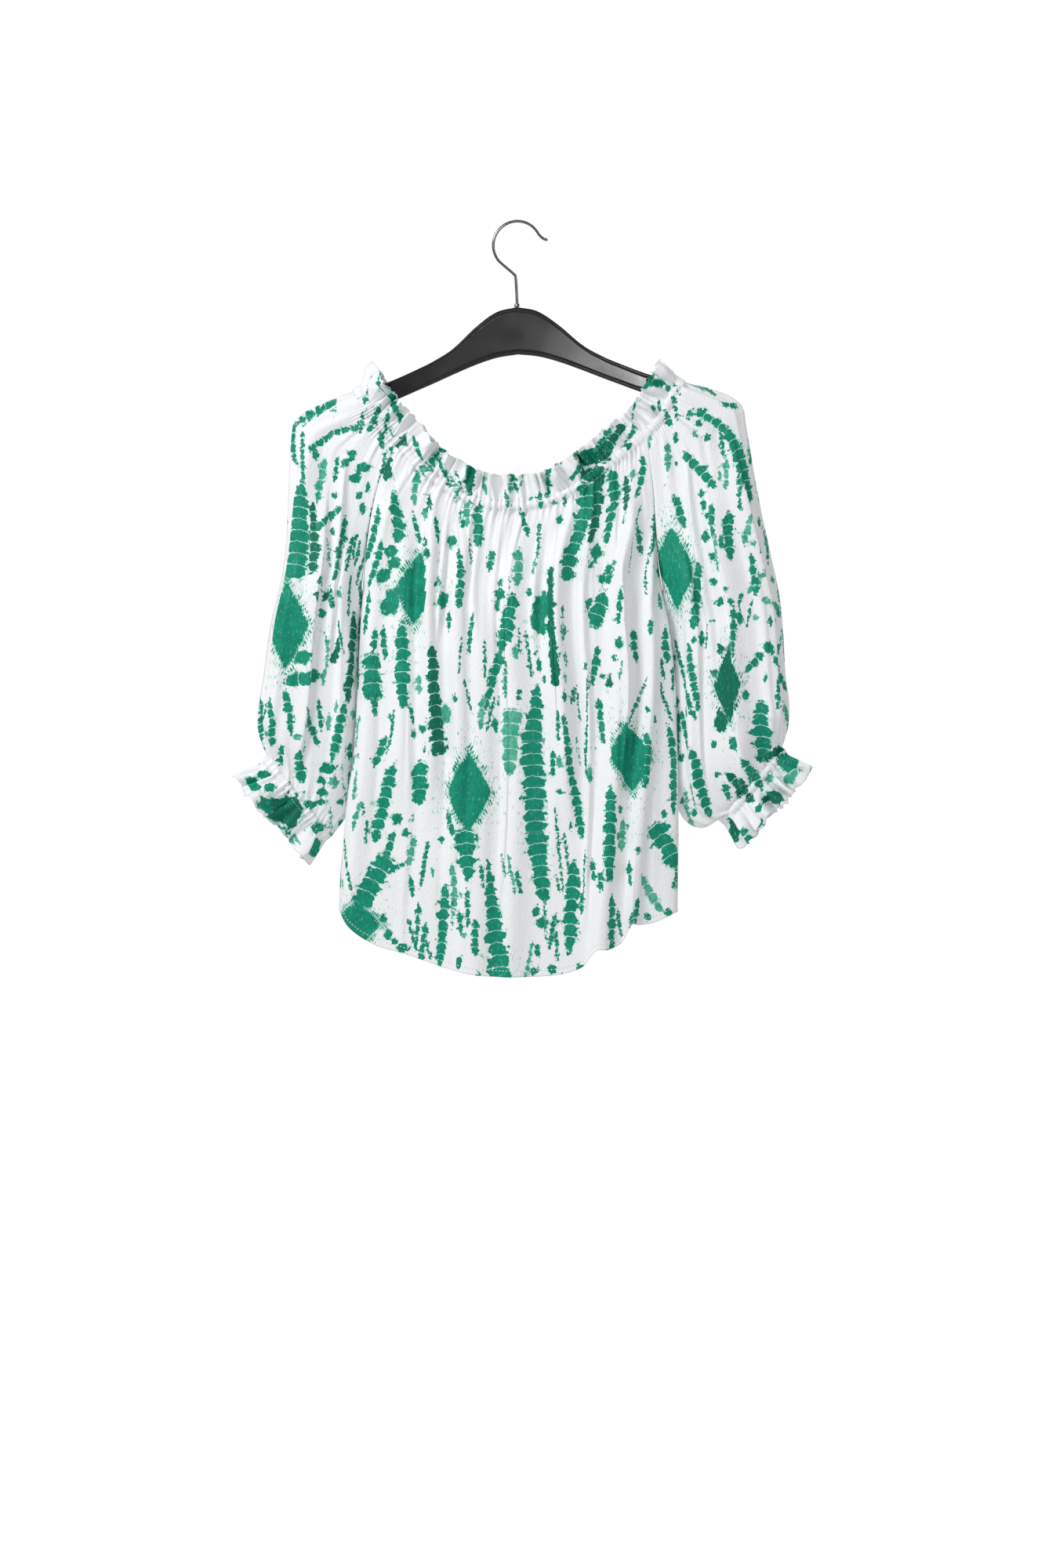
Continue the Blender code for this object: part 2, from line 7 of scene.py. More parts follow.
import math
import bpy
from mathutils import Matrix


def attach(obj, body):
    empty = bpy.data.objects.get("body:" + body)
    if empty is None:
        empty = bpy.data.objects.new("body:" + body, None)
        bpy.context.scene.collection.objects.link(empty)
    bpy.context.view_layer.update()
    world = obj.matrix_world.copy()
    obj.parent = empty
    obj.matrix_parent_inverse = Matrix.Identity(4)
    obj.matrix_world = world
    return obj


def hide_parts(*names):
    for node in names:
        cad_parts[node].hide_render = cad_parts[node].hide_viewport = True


bl_info = {
    "name": "Off-shoulder blouse on a hanger",
    "version": (1, 0, 0),
    "blender": (4, 5, 0),
    "location": "3D View > Sidebar > Blouse",
    "description": "Makes a gathered satin blouse on its hanger, with a plain studio",
    "category": "Add Mesh",
}

import bmesh
import bpy
import numpy as np
from mathutils import Matrix, Vector

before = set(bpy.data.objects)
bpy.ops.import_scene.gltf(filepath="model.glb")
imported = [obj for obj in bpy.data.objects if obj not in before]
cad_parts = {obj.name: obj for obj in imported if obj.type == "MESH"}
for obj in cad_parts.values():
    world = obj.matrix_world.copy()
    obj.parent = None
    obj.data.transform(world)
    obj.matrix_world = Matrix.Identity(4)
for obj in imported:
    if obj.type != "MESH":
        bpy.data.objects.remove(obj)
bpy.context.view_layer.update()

MM = 0.001
BODY = "root"

FRILL_HEIGHT = 30 * MM
CHANNEL_HEIGHT = 9 * MM
CUFF_CHANNEL = 8 * MM
CUFF_FRILL = 32 * MM
NECK_DEPTH = 15 * MM
CHEST_DEPTH = 24 * MM
HEM_DEPTH = 21 * MM
ARM_DEPTH = 15 * MM
SLEEVE_DEPTH = 26 * MM
CUFF_DEPTH = 15 * MM
BODY_SIDE_FORWARD = 7 * MM
SLEEVE_SIDE_BACK = 12 * MM
FLAT_SEAM = 0.12 * MM  # how far an edge draws in from its seam's line at the neckline
SHARP_SEAM = 0.8 * MM  # and from the underarm down
SEAM_VALLEY = 1.3 * MM  # how far the seam itself lies below the cloths
SLEEVE_TUCK = 5 * MM  # how far a sleeve's inner side hangs behind the body
OVER_ARM = 1.6 * MM  # how far the cloth stands off the hanger's arm
ROW_STEP = 2.1 * MM  # between two rows of a frill's points
CUFF_ROW_STEP = 2.2 * MM
PUCKER_LEVEL = 0.4  # the share of a pucker that lies below the cloth's own level
PUCKER_HEIGHT = 3.2  # in mm, as the two heights below
SOFT_PUCKER = 1.8
FRILL_EDGE_PUCKER = 0.3
PUCKER_SHARPNESS = 1.3
ELASTIC_PULL = 1.1  # how far, in mm, an elastic draws the cloth in on both sides of its channel
CUFF_FACING = (0.25, 1, 0.25)  # makes the waves of a cuff stand out of its flat faces
NEAR = 0.004  # a small step along a line or across a cloth, as a share of it
CLOTH_COLUMNS = 300
PHOTO_PIXELS = (1333, 2000)
HOOK_PIXEL = (659, 284)  # where the photo has the origin

# Where the neckline's elastic runs round the front, x and z in mm.
NECKLINE = (
    (-154, -164), (-146, -178), (-135, -194), (-115, -215), (-85, -246), (-45, -269.5),
    (-10, -275.5), (24, -273), (50, -263), (73, -247.5), (95, -230.5), (124, -207),
    (139, -191), (150, -171.5), (160, -155),
)
RIGHT_RAGLAN_ROW = 3
LEFT_RAGLAN_ROW = 11
RIGHT_RAGLAN = ((-134, -253), (-145, -304), (-151, -363))
LEFT_RAGLAN = ((133, -262), (136, -315), (143, -363))
RIGHT_SIDE = ((-151, -363), (-153, -400), (-155, -441), (-159, -509), (-166, -568),
              (-172, -636), (-173, -668))
LEFT_SIDE = ((143, -363), (150, -400), (155, -450), (157, -516), (158, -590), (157, -670))
FRONT_HEM = ((-173, -668), (-160, -687), (-137, -702), (-106, -711), (-68, -724), (-30, -731.5),
             (31, -731.5), (62, -724), (74, -711), (100, -701), (110, -685), (134, -680),
             (157, -670))
BACK_HEM = ((-173, -668), (-160, -685), (-137, -700), (-106, -709), (-68, -722), (-30, -730),
            (31, -730), (60, -721), (74, -707), (98, -697), (112, -682), (134, -678),
            (157, -670))
RIGHT_OUTER = ((-154, -164), (-183, -174.9), (-203, -184), (-214, -192.5), (-218, -207),
               (-221, -256), (-227, -333), (-240, -392), (-247, -441), (-253, -478),
               (-251, -497), (-242, -519))
RIGHT_INNER = ((-151, -363), (-153, -395), (-152, -440), (-154, -500), (-159, -550),
               (-166, -577), (-179, -597))
LEFT_OUTER = ((160, -155), (190, -164.6), (207, -172), (217, -181), (221, -200),
              (231, -252), (246, -318), (257, -372), (262, -438), (266, -470),
              (264, -495), (257, -510))
LEFT_INNER = ((143, -363), (152, -395), (153, -440), (154, -500), (156, -550), (164, -580),
              (180, -590), (196, -582))
SLEEVE_UNDERARM = 0.60

# Half of the hanger's outline, in mm from the middle of its top edge: how far out, how far
# down the top edge lies and how far down the bottom edge.
HANGER_SHAPE = (
    (0, 0.0, 46.0), (20, 4.4, 48.6), (40, 18.0, 54.5), (63, 38.5, 63.5), (82, 50.0, 71.5),
    (97, 57.0, 77.5), (121, 67.0, 87.0), (154, 78.6, 98.0), (183, 88.6, 107.0),
    (199, 95.5, 111.5), (203, 99.5, 109.0),
)
HANGER_TOP = -82.4 * MM
HANGER_TILT = math.radians(1.7)
HOOK_RADIUS = 23.5 * MM
WIRE_RADIUS = 1.4 * MM
WIRE_END = 1.2 * MM  # the length over which each end is rounded off
HOOK_SHANK = ((0.4, -98), (0.4, -78), (-0.9, -54), (-2.6, -50.2), (-8.0, -45.4))
HOOK_LIP = ((24.6, -14.4), (27.4, -16.2), (30.6, -16.8))
COLLAR = ((2.0, 3.6), (2.6, 3.2), (2.6, 1.2), (3.2, 0.3), (2.0, 0.3))

# Long folds. neck and hem: the place across, 0 at the wearer's right seam and 1 at the
# left. width, forward and lean in mm. steep: how much narrower one side is, below 0 the
# wearer's right one. begins and ends: shares of the way down.
FRONT_FOLDS = (
    # neck, hem, width, steep, forward, lean, begins, ends
    (0.060, 0.050, 12, 0.0, 6, -3, 0.04, 1.2),
    (0.135, 0.165, 9, 0.0, 5, 3, 0.10, 0.80),
    (0.200, 0.240, 14, -1.2, 9, 7, 0.02, 0.80),
    (0.305, 0.320, 13, -1.1, 8, 6, 0.03, 0.90),
    (0.405, 0.400, 15, 0.0, 6, 2, 0.22, 1.2),
    (0.500, 0.510, 11, 0.2, 6, -4, 0.04, 1.2),
    (0.675, 0.650, 15, 1.2, 10, -9, 0.03, 0.80),
    (0.950, 0.730, 16, -1.1, 10, 10, 0.06, 1.2),
    (1.090, 0.845, 13, -1.0, 9, 9, 0.16, 1.2),
    (0.165, 0.205, 5, 1.0, 3, -3, 0.20, 0.80),
    (0.262, 0.268, 4, -1.0, 3, 3, 0.01, 0.50),
    (0.385, 0.395, 4, 1.0, 3, -3, 0.02, 0.45),
    (0.468, 0.462, 5, -1.0, 3, 3, 0.12, 0.95),
    (0.585, 0.565, 5, 1.0, 4, -4, 0.02, 0.55),
    (0.630, 0.600, 4, -1.0, 4, 4, 0.05, 0.70),
    (0.770, 0.705, 5, 1.0, 4, -4, 0.05, 0.98),
    (0.870, 0.780, 4, -1.0, 4, 4, 0.10, 0.75),
)
BACK_FOLDS = (
    (0.070, 0.090, 12, 0.0, 7, 4, 0.06, 1.2),
    (0.190, 0.230, 12, 0.4, 8, -6, 0.03, 1.2),
    (0.330, 0.320, 12, -1.1, 7, 5, 0.04, 0.80),
    (0.440, 0.450, 14, 0.0, 6, -3, 0.20, 1.2),
    (0.560, 0.580, 13, -1.2, 8, 7, 0.03, 0.95),
    (0.700, 0.690, 14, 1.1, 7, -6, 0.05, 0.85),
    (0.820, 0.800, 14, -1.0, 8, 5, 0.04, 1.2),
    (0.940, 0.920, 11, 0.2, 7, -4, 0.06, 1.2),
    (0.130, 0.160, 5, 1.0, 3, -3, 0.10, 0.85),
    (0.265, 0.270, 4, -1.0, 3, 3, 0.02, 0.55),
    (0.395, 0.385, 5, 1.0, 4, -4, 0.03, 0.95),
    (0.620, 0.635, 5, -1.0, 3, 3, 0.05, 0.70),
    (0.765, 0.750, 4, 1.0, 4, -4, 0.04, 0.60),
    (0.880, 0.860, 5, -1.0, 3, 3, 0.10, 0.98),
)
# On a sleeve the place runs from the back seam over the outer line to the front seam.
SLEEVE_FOLDS = (
    (0.140, 0.160, 11, 0.8, 6, 3, 0.10, 0.95),
    (0.270, 0.240, 10, -0.9, 6, -4, 0.25, 0.98),
    (0.370, 0.400, 10, 0.8, 5, 3, 0.30, 0.98),
    (0.620, 0.600, 10, -0.9, 6, -4, 0.12, 0.98),
    (0.730, 0.720, 11, 1.0, 7, 5, 0.20, 0.98),
    (0.850, 0.860, 11, -1.0, 6, -4, 0.30, 0.98),
    (0.205, 0.190, 4, 1.0, 3, -2, 0.20, 0.80),
    (0.320, 0.310, 4, -1.0, 3, 2, 0.45, 0.99),
    (0.670, 0.640, 4, 1.0, 3, -3, 0.35, 0.99),
    (0.785, 0.800, 4, -1.0, 4, 3, 0.06, 0.70),
    (0.910, 0.890, 4, 1.0, 3, -2, 0.45, 0.99),
)

# The tie-dye's larger motifs, placed where they lie on the blouse, in mm: the kind, x and
# z of both ends, the half-width at each end, and the tone where it isn't 1, full dye: 0 is thin
# and 2 pooled. A spot has one x and z, with its half-width and half-height. A diamond runs from
# its middle to its lower tip, with its half-widths to the wearer's right and left.
FRONT_PRINT = (
    ("ladder", -120, -263, -115, -310, 6.1, 8.4), ("spot", -121, -320, 6.9, 6.9),
    ("spot", -118, -331, 6.9, 6.1), ("chain", -134, -276, -146, -329, 4.6, 4.6),
    ("chain", -101, -283, -94, -310, 3.1, 3.1), ("diamond", -95, -356, -95, -399, 30, 30),
    ("spot", -121, -369, 9.9, 14.5), ("spot", -129, -344, 6.1, 7.6),
    ("bare", -84, -318, -84, -390, 6.1, 6.1, 0), ("spot", -86, -322, 3.8, 6.1, 2),
    ("spot", -89, -310, 3.8, 5.3, 2), ("spot", -85, -272, 3.1, 6.1, 2),
    ("ladder", -111, -392, -110, -470, 7.6, 6.9), ("chain", -103, -470, -100, -487, 3.1, 2.3),
    ("ladder", -141, -421, -139, -461, 9.9, 9.9), ("chain", -138, -464, -137, -479, 3.8, 3.1),
    ("chain", -130, -394, -127, -424, 3.1, 3.1), ("ladder", -82, -411, -75, -515, 5.3, 9.2, 2),
    ("spot", -73, -367, 8.4, 8.4), ("chain", -66, -379, -65, -397, 3.1, 3.1),
    ("chain", -56, -318, -56, -375, 3.1, 3.8), ("spot", -64, -310, 6.1, 6.1),
    ("chain", -36, -272, -37, -314, 3.1, 6.1), ("stroke", -42, -237, -46, -263, 6.1, 3.1, 2),
    ("chain", -66, -218, -89, -243, 3.8, 3.8), ("spot", -16, -350, 3.1, 3.8),
    ("spot", -16, -362, 6.1, 6.1), ("spot", -19, -374, 3.8, 3.8),
    ("ladder", -3, -363, -15, -417, 6.9, 6.1), ("ladder", -16, -418, -31, -474, 6.1, 2.3),
    ("ladder", 68, -255, 48, -346, 9.2, 9.9), ("ladder", 77, -250, 71, -310, 6.9, 6.1, 2),
    ("stroke", 60, -230, 89, -226, 9.2, 6.9, 2), ("spot", 75, -246, 12.2, 9.2, 2),
    ("chain", 92, -241, 87, -311, 6.1, 5.3), ("chain", 105, -247, 105, -281, 3.8, 3.8, 2),
    ("ladder", 134, -202, 137, -279, 6.1, 6.9), ("chain", 137, -281, 131, -321, 4.6, 3.1),
    ("spot", 77, -321, 6.9, 6.9), ("spot", 71, -334, 3.8, 3.8), ("spot", 83, -347, 4.6, 4.6),
    ("ladder", 85, -360, 75, -392, 7.6, 8.4), ("spot", 69, -371, 3.8, 6.1),
    ("chain", 101, -356, 98, -390, 3.8, 3.1), ("spot", 98, -409, 4.6, 6.1),
    ("spot", 96, -423, 3.8, 3.8), ("stroke", 33, -338, 36, -448, 4.6, 6.5, 2),
    ("spot", 21, -386, 9.9, 15.3), ("spot", 25, -371, 7.6, 10.7),
    ("chain", 1, -318, 1, -352, 5.3, 5.3, 0), ("chain", 4, -279, 11, -304, 2.3, 3.1),
    ("spot", 12, -360, 3.1, 3.8), ("chain", 144, -394, 146, -428, 3.8, 3.8),
    ("dashes", 69, -440, 68, -539, 1.5, 1.5), ("dashes", 129, -318, 126, -363, 1.5, 1.5),
    ("dashes", -51, -444, -44, -474, 1.5, 1.5), ("dashes", 127, -441, 109, -485, 1.5, 1.5),
    ("ladder", -93, -524, -94, -563, 8.4, 8.4), ("chain", -119, -527, -137, -600, 6.1, 6.1),
    ("spot", -116, -579, 5.3, 5.3), ("chain", -119, -592, -127, -619, 3.8, 3.8),
    ("ladder", -126, -617, -150, -661, 9.2, 10.7), ("chain", -123, -629, -105, -621, 3.8, 1.5),
    ("spot", -100, -497, 3.8, 3.8), ("spot", -91, -493, 5.3, 4.6), ("spot", -89, -512, 3.1, 3.8),
    ("spot", -68, -478, 6.1, 9.2, 0), ("diamond", -47, -553, -47, -601, 28, 28),
    ("ladder", -50, -591, -47, -637, 11.5, 6.1), ("chain", -66, -573, -62, -594, 3.8, 3.8),
    ("diamond", -156, -682, -156, -710, 29.9, 29.9), ("spot", -129, -676, 3.8, 4.6),
    ("spot", -124, -692, 4.6, 4.6), ("spot", -110, -705, 5.3, 4.6),
    ("chain", -85, -600, -93, -646, 2.3, 2.3), ("chain", -95, -661, -97, -703, 2.3, 2.3),
    ("dashes", -167, -596, -160, -650, 1.5, 1.5), ("dashes", -150, -562, -148, -577, 1.5, 1.5),
    ("ladder", -69, -644, -74, -721, 5.3, 4.6), ("chain", -48, -646, -47, -684, 2.3, 2.3),
    ("chain", -40, -676, -40, -711, 3.8, 3.8), ("ladder", -28, -617, -15, -734, 2.3, 13),
    ("ladder", -5, -474, -7, -535, 9.2, 7.6, 0), ("ladder", 20, -449, 15, -505, 3.8, 11.5),
    ("ladder", 15, -505, 18, -592, 11.5, 10.7), ("ladder", 18, -592, 27, -657, 10.7, 6.9),
    ("chain", 45, -478, 63, -596, 3.8, 5.3), ("chain", 40, -474, 40, -505, 2.3, 2.3),
    ("chain", 35, -512, 35, -537, 3.1, 3.1), ("dashes", 37, -569, 45, -650, 1.5, 1.5),
    ("dashes", 46, -592, 50, -627, 1.5, 1.5), ("ladder", 55, -621, 51, -705, 6.1, 6.9),
    ("chain", 64, -652, 63, -670, 2.3, 2.3), ("spot", 25, -680, 6.1, 6.1),
    ("dashes", 27, -653, 28, -695, 1.5, 1.5), ("spot", 18, -727, 4.6, 3.8),
    ("spot", 34, -725, 4.6, 3.8), ("spot", 63, -724, 4.6, 3.8),
    ("diamond", 109, -518, 109, -561, 29, 29), ("bare", 85, -489, 85, -547, 6.1, 6.1, 0),
    ("chain", 126, -497, 124, -547, 4.6, 4.6), ("ladder", 90, -549, 90, -637, 6.1, 6.1),
    ("spot", 100, -569, 3.1, 3.8), ("spot", 98, -596, 3.1, 3.8),
    ("ladder", 92, -653, 92, -707, 4.6, 4.6), ("ladder", 134, -586, 155, -624, 10.7, 9.2),
    ("chain", 147, -489, 152, -573, 3.8, 3.8), ("chain", 153, -520, 154, -554, 2.3, 2.3),
    ("spot", 143, -576, 3.1, 3.8), ("dashes", 155, -623, 155, -646, 2.3, 2.3),
    ("chain", 121, -634, 140, -669, 3.8, 4.6, 0), ("spot", 127, -675, 4.6, 3.8),
    ("spot", 147, -670, 3.8, 3.8), ("spot", 117, -608, 3.1, 3.1), ("spot", 127, -473, 3.1, 4.6),
    ("spot", 134, -483, 3.1, 3.8), ("spot", 90, -447, 4.6, 6.1, 2),
    ("dashes", 140, -447, 140, -459, 1.5, 1.5), ("spot", -129, -234, 9.2, 18.3, 2),
    ("spot", -116, -212, 10.7, 7.6, 2), ("ladder", 104, -196, 80, -232, 5, 7, 2),
    ("chain", 92, -199, 72, -226, 3.5, 3.5), ("chain", 118, -190, 108, -222, 3.5, 3.5),
    ("spot", 84, -219, 6, 7, 2), ("chain", 62, -236, 52, -250, 3.5, 3),
    ("chain", -100, -208, -92, -232, 3, 3.5), ("chain", -118, -188, -110, -204, 3, 3),
    ("chain", -74, -232, -64, -258, 3, 3), ("dashes", -10, -262, -8, -278, 2, 2),
    ("chain", 22, -262, 24, -280, 2.5, 2.5),
)
RIGHT_SLEEVE_PRINT = (
    ("chain", -175, -176, -213, -195, 3.8, 3.8), ("chain", -215, -195, -216, -234, 3.1, 3.1),
    ("chain", -208, -199, -207, -253, 2.3, 2.3), ("chain", -152, -199, -179, -205, 3.1, 3.1),
    ("chain", -180, -207, -202, -222, 3.8, 3.1), ("spot", -195, -227, 3.8, 4.6),
    ("spot", -160, -227, 4.6, 4.6), ("spot", -166, -235, 4.6, 3.8), ("spot", -148, -239, 6.9, 4.6),
    ("spot", -157, -249, 6.1, 4.6), ("spot", -176, -266, 3.8, 3.1), ("spot", -152, -266, 3.8, 3.8),
    ("spot", -150, -278, 3.1, 5.3), ("chain", -169, -276, -194, -298, 3.8, 3.8),
    ("ladder", -208, -255, -215, -344, 6.9, 13), ("chain", -198, -272, -197, -340, 3.8, 6.1, 2),
    ("spot", -172, -319, 3.8, 5.3), ("spot", -167, -308, 3.1, 4.6),
    ("chain", -166, -287, -176, -348, 3.8, 3.8), ("spot", -190, -348, 3.1, 3.8),
    ("spot", -192, -363, 3.8, 5.3, 2), ("spot", -184, -363, 3.8, 4.6, 2),
    ("spot", -188, -380, 3.8, 5.3), ("diamond", -223, -392, -223, -444, 26, 28),
    ("spot", -207, -423, 9.2, 6.9), ("ladder", -224, -446, -192, -441, 6.9, 6.9),
    ("chain", -224, -455, -218, -497, 4.6, 3.1), ("chain", -249, -459, -244, -516, 3.1, 3.1),
    ("chain", -239, -463, -237, -508, 3.1, 3.1), ("chain", -202, -470, -192, -508, 3.1, 3.1),
    ("chain", -192, -463, -189, -493, 2.3, 2.3), ("ladder", -158, -382, -163, -464, 6.9, 6.9, 2),
    ("chain", -166, -468, -179, -524, 4.6, 5.3), ("spot", -184, -531, 8.4, 6.1),
    ("spot", -189, -542, 4.6, 3.8), ("stroke", -178, -426, -172, -409, 3.8, 3.1, 2),
    ("chain", -210, -512, -209, -543, 3.1, 7.6), ("spot", -224, -573, 16.8, 16.8, 2),
    ("spot", -244, -566, 6.9, 7.6), ("spot", -240, -550, 6.1, 4.6), ("spot", -253, -549, 6.9, 3.8),
    ("spot", -259, -542, 6.1, 3.1), ("spot", -247, -536, 7.6, 3.1), ("spot", -202, -566, 6.1, 5.3),
    ("spot", -189, -554, 6.9, 3.8), ("spot", -190, -564, 6.9, 3.1), ("spot", -171, -564, 5.3, 3.1),
    ("spot", -194, -589, 6.9, 6.1), ("spot", -198, -611, 6.9, 9.2), ("spot", -224, -596, 4.6, 4.6),
    ("spot", -173, -585, 3.8, 3.8), ("chain", -121, -165, -112, -195, 3.1, 3.8),
    ("chain", -132, -180, -144, -205, 3.1, 3.1),
)
LEFT_SLEEVE_PRINT = (
    ("spot", 125, -155, 6.1, 6.9), ("spot", 137, -157, 6.1, 4.6), ("spot", 147, -162, 4.6, 3.1),
    ("chain", 160, -153, 190, -163, 3.1, 3.1), ("chain", 198, -176, 215, -180, 3.1, 3.1),
    ("chain", 175, -182, 204, -203, 4.6, 4.6), ("ladder", 205, -202, 226, -272, 6.9, 8.4),
    ("chain", 198, -203, 201, -230, 2.3, 2.3), ("chain", 144, -184, 150, -199, 3.1, 3.1),
    ("spot", 155, -211, 3.1, 4.6), ("spot", 185, -210, 3.1, 3.8),
    ("chain", 163, -224, 193, -258, 5.3, 5.3), ("chain", 147, -215, 147, -241, 3.1, 3.1, 0),
    ("chain", 153, -266, 163, -295, 3.8, 4.6), ("spot", 182, -276, 3.1, 6.1),
    ("spot", 179, -263, 3.1, 3.8), ("spot", 186, -285, 3.8, 3.8),
    ("diamond", 153, -337, 153, -387, 25, 26), ("ladder", 205, -283, 207, -327, 6.1, 5.3),
    ("spot", 198, -312, 3.1, 6.1), ("spot", 191, -325, 3.8, 3.8),
    ("chain", 215, -245, 216, -279, 2.3, 2.3), ("ladder", 176, -333, 172, -394, 6.1, 5.3),
    ("spot", 179, -405, 3.8, 6.9), ("spot", 191, -350, 3.8, 3.8), ("spot", 202, -356, 3.1, 3.1),
    ("spot", 198, -369, 4.6, 3.8), ("spot", 207, -369, 3.1, 3.8),
    ("chain", 210, -375, 209, -417, 3.8, 3.1), ("chain", 239, -334, 224, -360, 3.1, 3.1, 0),
    ("spot", 230, -314, 3.1, 3.8, 0), ("spot", 249, -348, 3.1, 4.6, 0),
    ("chain", 256, -375, 237, -367, 3.1, 3.1, 0), ("diamond", 207, -449, 207, -494, 20, 20, 2),
    ("spot", 199, -485, 7.6, 10.7, 2), ("spot", 211, -505, 4.6, 7.6), ("spot", 244, -414, 6.9, 6.1),
    ("chain", 248, -421, 263, -455, 3.8, 4.6), ("chain", 239, -418, 222, -436, 3.8, 3.8),
    ("ladder", 237, -466, 239, -522, 8.4, 7.6), ("spot", 221, -459, 3.8, 4.6),
    ("spot", 241, -444, 2.3, 4.6), ("spot", 198, -415, 3.8, 5.3, 2), ("spot", 207, -413, 4.6, 4.6),
    ("spot", 193, -438, 3.1, 3.8), ("chain", 167, -409, 176, -474, 3.1, 3.8),
    ("chain", 154, -405, 173, -482, 2.3, 3.1), ("chain", 160, -474, 167, -512, 3.8, 3.8),
    ("chain", 170, -512, 188, -577, 4.6, 4.6), ("spot", 228, -535, 6.1, 7.6),
    ("spot", 264, -524, 10.7, 9.9), ("spot", 268, -539, 5.3, 5.3, 0), ("spot", 251, -558, 10.7, 7.6, 2),
    ("spot", 211, -592, 6.1, 13, 2), ("spot", 222, -592, 4.6, 4.6), ("spot", 230, -602, 6.1, 5.3),
    ("stroke", 217, -543, 217, -558, 4.6, 3.1, 2), ("stroke", 236, -521, 258, -511, 4.2, 4.2, 2),
    ("chain", 204, -534, 230, -562, 4.8, 4.8, 2), ("chain", 218, -520, 238, -550, 4.6, 4.6),
)


def linear(code):
    """An sRGB hex colour as a linear one."""
    values = [int(code[i:i + 2], 16) / 255 for i in (1, 3, 5)]
    return tuple(v / 12.92 if v <= 0.04045 else ((v + 0.055) / 1.055) ** 2.4 for v in values)


def colour(name, description, code):
    return bpy.props.FloatVectorProperty(name=name, description=description, size=3, min=0, max=1,
                                         subtype="COLOR", default=linear(code))


def length(name, description, default):
    return bpy.props.FloatProperty(name=name, description=description, default=default, min=0,
                                   precision=4, unit="LENGTH")


def gather_count(name, description, default):
    return bpy.props.IntProperty(name=name, description=description, default=default, min=4)


class BlouseCloth(bpy.types.PropertyGroup):
    wall: length("Cloth thickness", "Thickness of the satin", 0.45 * MM)
    front_gathers: gather_count("Front gathers", "Gathers below the elastic of the front", 24)
    back_gathers: gather_count("Back gathers", "Gathers below the elastic of the back", 23)
    sleeve_gathers: gather_count("Sleeve gathers", "Gathers round the top of each sleeve", 14)
    cuff_gathers: gather_count("Cuff gathers", "Gathers round each cuff's elastic", 20)
    gather_depth: length("Gather depth", "Height of the gathers next to the elastic", 3.3 * MM)
    frill_depth: length("Frill depth", "Depth of the waves along a frill's edge", 10 * MM)
    hem_turn: length("Hem", "Height of the turned and stitched hem", 6 * MM)
    fold_height: bpy.props.FloatProperty(
        name="Fold height", description="Scales the long folds", default=1.15, min=0, max=1.5,
        subtype="FACTOR")
    stitch: length("Stitch", "Length of one machine stitch", 2.4 * MM)


class BlousePrint(bpy.types.PropertyGroup):
    cloth: colour("Cloth", "Undyed satin", "#F1F3F5")
    bleed: colour("Bleed", "Thin dye at the edge of a motif", "#8AD4B9")
    dye: colour("Dye", "Full dye", "#07967A")
    deep: colour("Deep dye", "Dye where it pooled", "#006D56")
    thread: colour("Thread", "Polyester sewing thread", "#F4F5F6")
    hammer: length("Hammering", "Size of one hammered dent in the satin", 1.9 * MM)


class BlouseHanger(bpy.types.PropertyGroup):
    plastic: colour("Hanger", "Black moulded plastic", "#050608")
    # The second hanger colour is lighter and is laid on in random patches: painted reflection.
    painted_reflection: colour("Hanger painted reflection", "Lighter patches painted as soft reflection", "#0E0F12")
    wire: colour("Wire", "Chrome plating", "#7D7F85")


class BlouseStage(bpy.types.PropertyGroup):
    distance: length("Camera distance", "From the camera to the blouse", 4.0)
    pixels_a_mm: bpy.props.FloatProperty(
        name="Pixels a millimetre", description="Scale of the photo at the blouse", default=1.31,
        min=0.1)
    height: length("Camera height below the hook", "Height at which the camera looks", 0.365)
    floor: length("Floor below the hook", "How far below the hook the floor lies", 2.4)
    backdrop: colour("Studio", "Floor and surroundings", "#FFFFFF")


def mix(a, b, share):
    return a + (b - a) * share


def ease(low, high, value):
    """0 below low, 1 above high, smooth between."""
    share = np.clip((value - low) / (high - low), 0, 1)
    return share * share * (3 - 2 * share)


def column(values):
    return np.asarray(values, float)[..., None]


def unit(vectors):
    return vectors / np.linalg.norm(vectors, axis=-1, keepdims=True)


def ahead(at, across, step=NEAR):
    """How a line moves on over a small step across the cloth."""
    return at(np.minimum(1, across + step)) - at(np.maximum(0, across - step))


class Path:
    """A smooth curve through rows of (x, z) in mm, read by its share of length."""

    STEPS = 16

    def __init__(self, rows):
        ends = np.array(rows, float) * MM
        points = np.vstack([2 * ends[0] - ends[1], ends, 2 * ends[-1] - ends[-2]])
        line = [ends[0]]
        for before, a, b, after in zip(points, points[1:], points[2:], points[3:]):
            for step in range(1, self.STEPS + 1):
                t = step / self.STEPS
                line.append(0.5 * (2 * a + (b - before) * t
                                   + (2 * before - 5 * a + 4 * b - after) * t ** 2
                                   + (3 * a - before - 3 * b + after) * t ** 3))
        self.line = np.array(line)
        steps = np.linalg.norm(np.diff(self.line, axis=0), axis=1)
        self.lengths = np.concatenate([[0], np.cumsum(steps)])
        self.length = self.lengths[-1]

    def share_at_row(self, row):
        return self.lengths[row * self.STEPS] / self.length

    def at(self, share):
        wanted = np.clip(share, 0, 1) * self.length
        return np.stack([np.interp(wanted, self.lengths, self.line[:, i]) for i in (0, 1)], -1)

    def along(self, share):
        return unit(self.at(share + NEAR) - self.at(share - NEAR))


NECK = Path(NECKLINE)
RIGHT_START = NECK.share_at_row(RIGHT_RAGLAN_ROW)
LEFT_START = NECK.share_at_row(LEFT_RAGLAN_ROW)


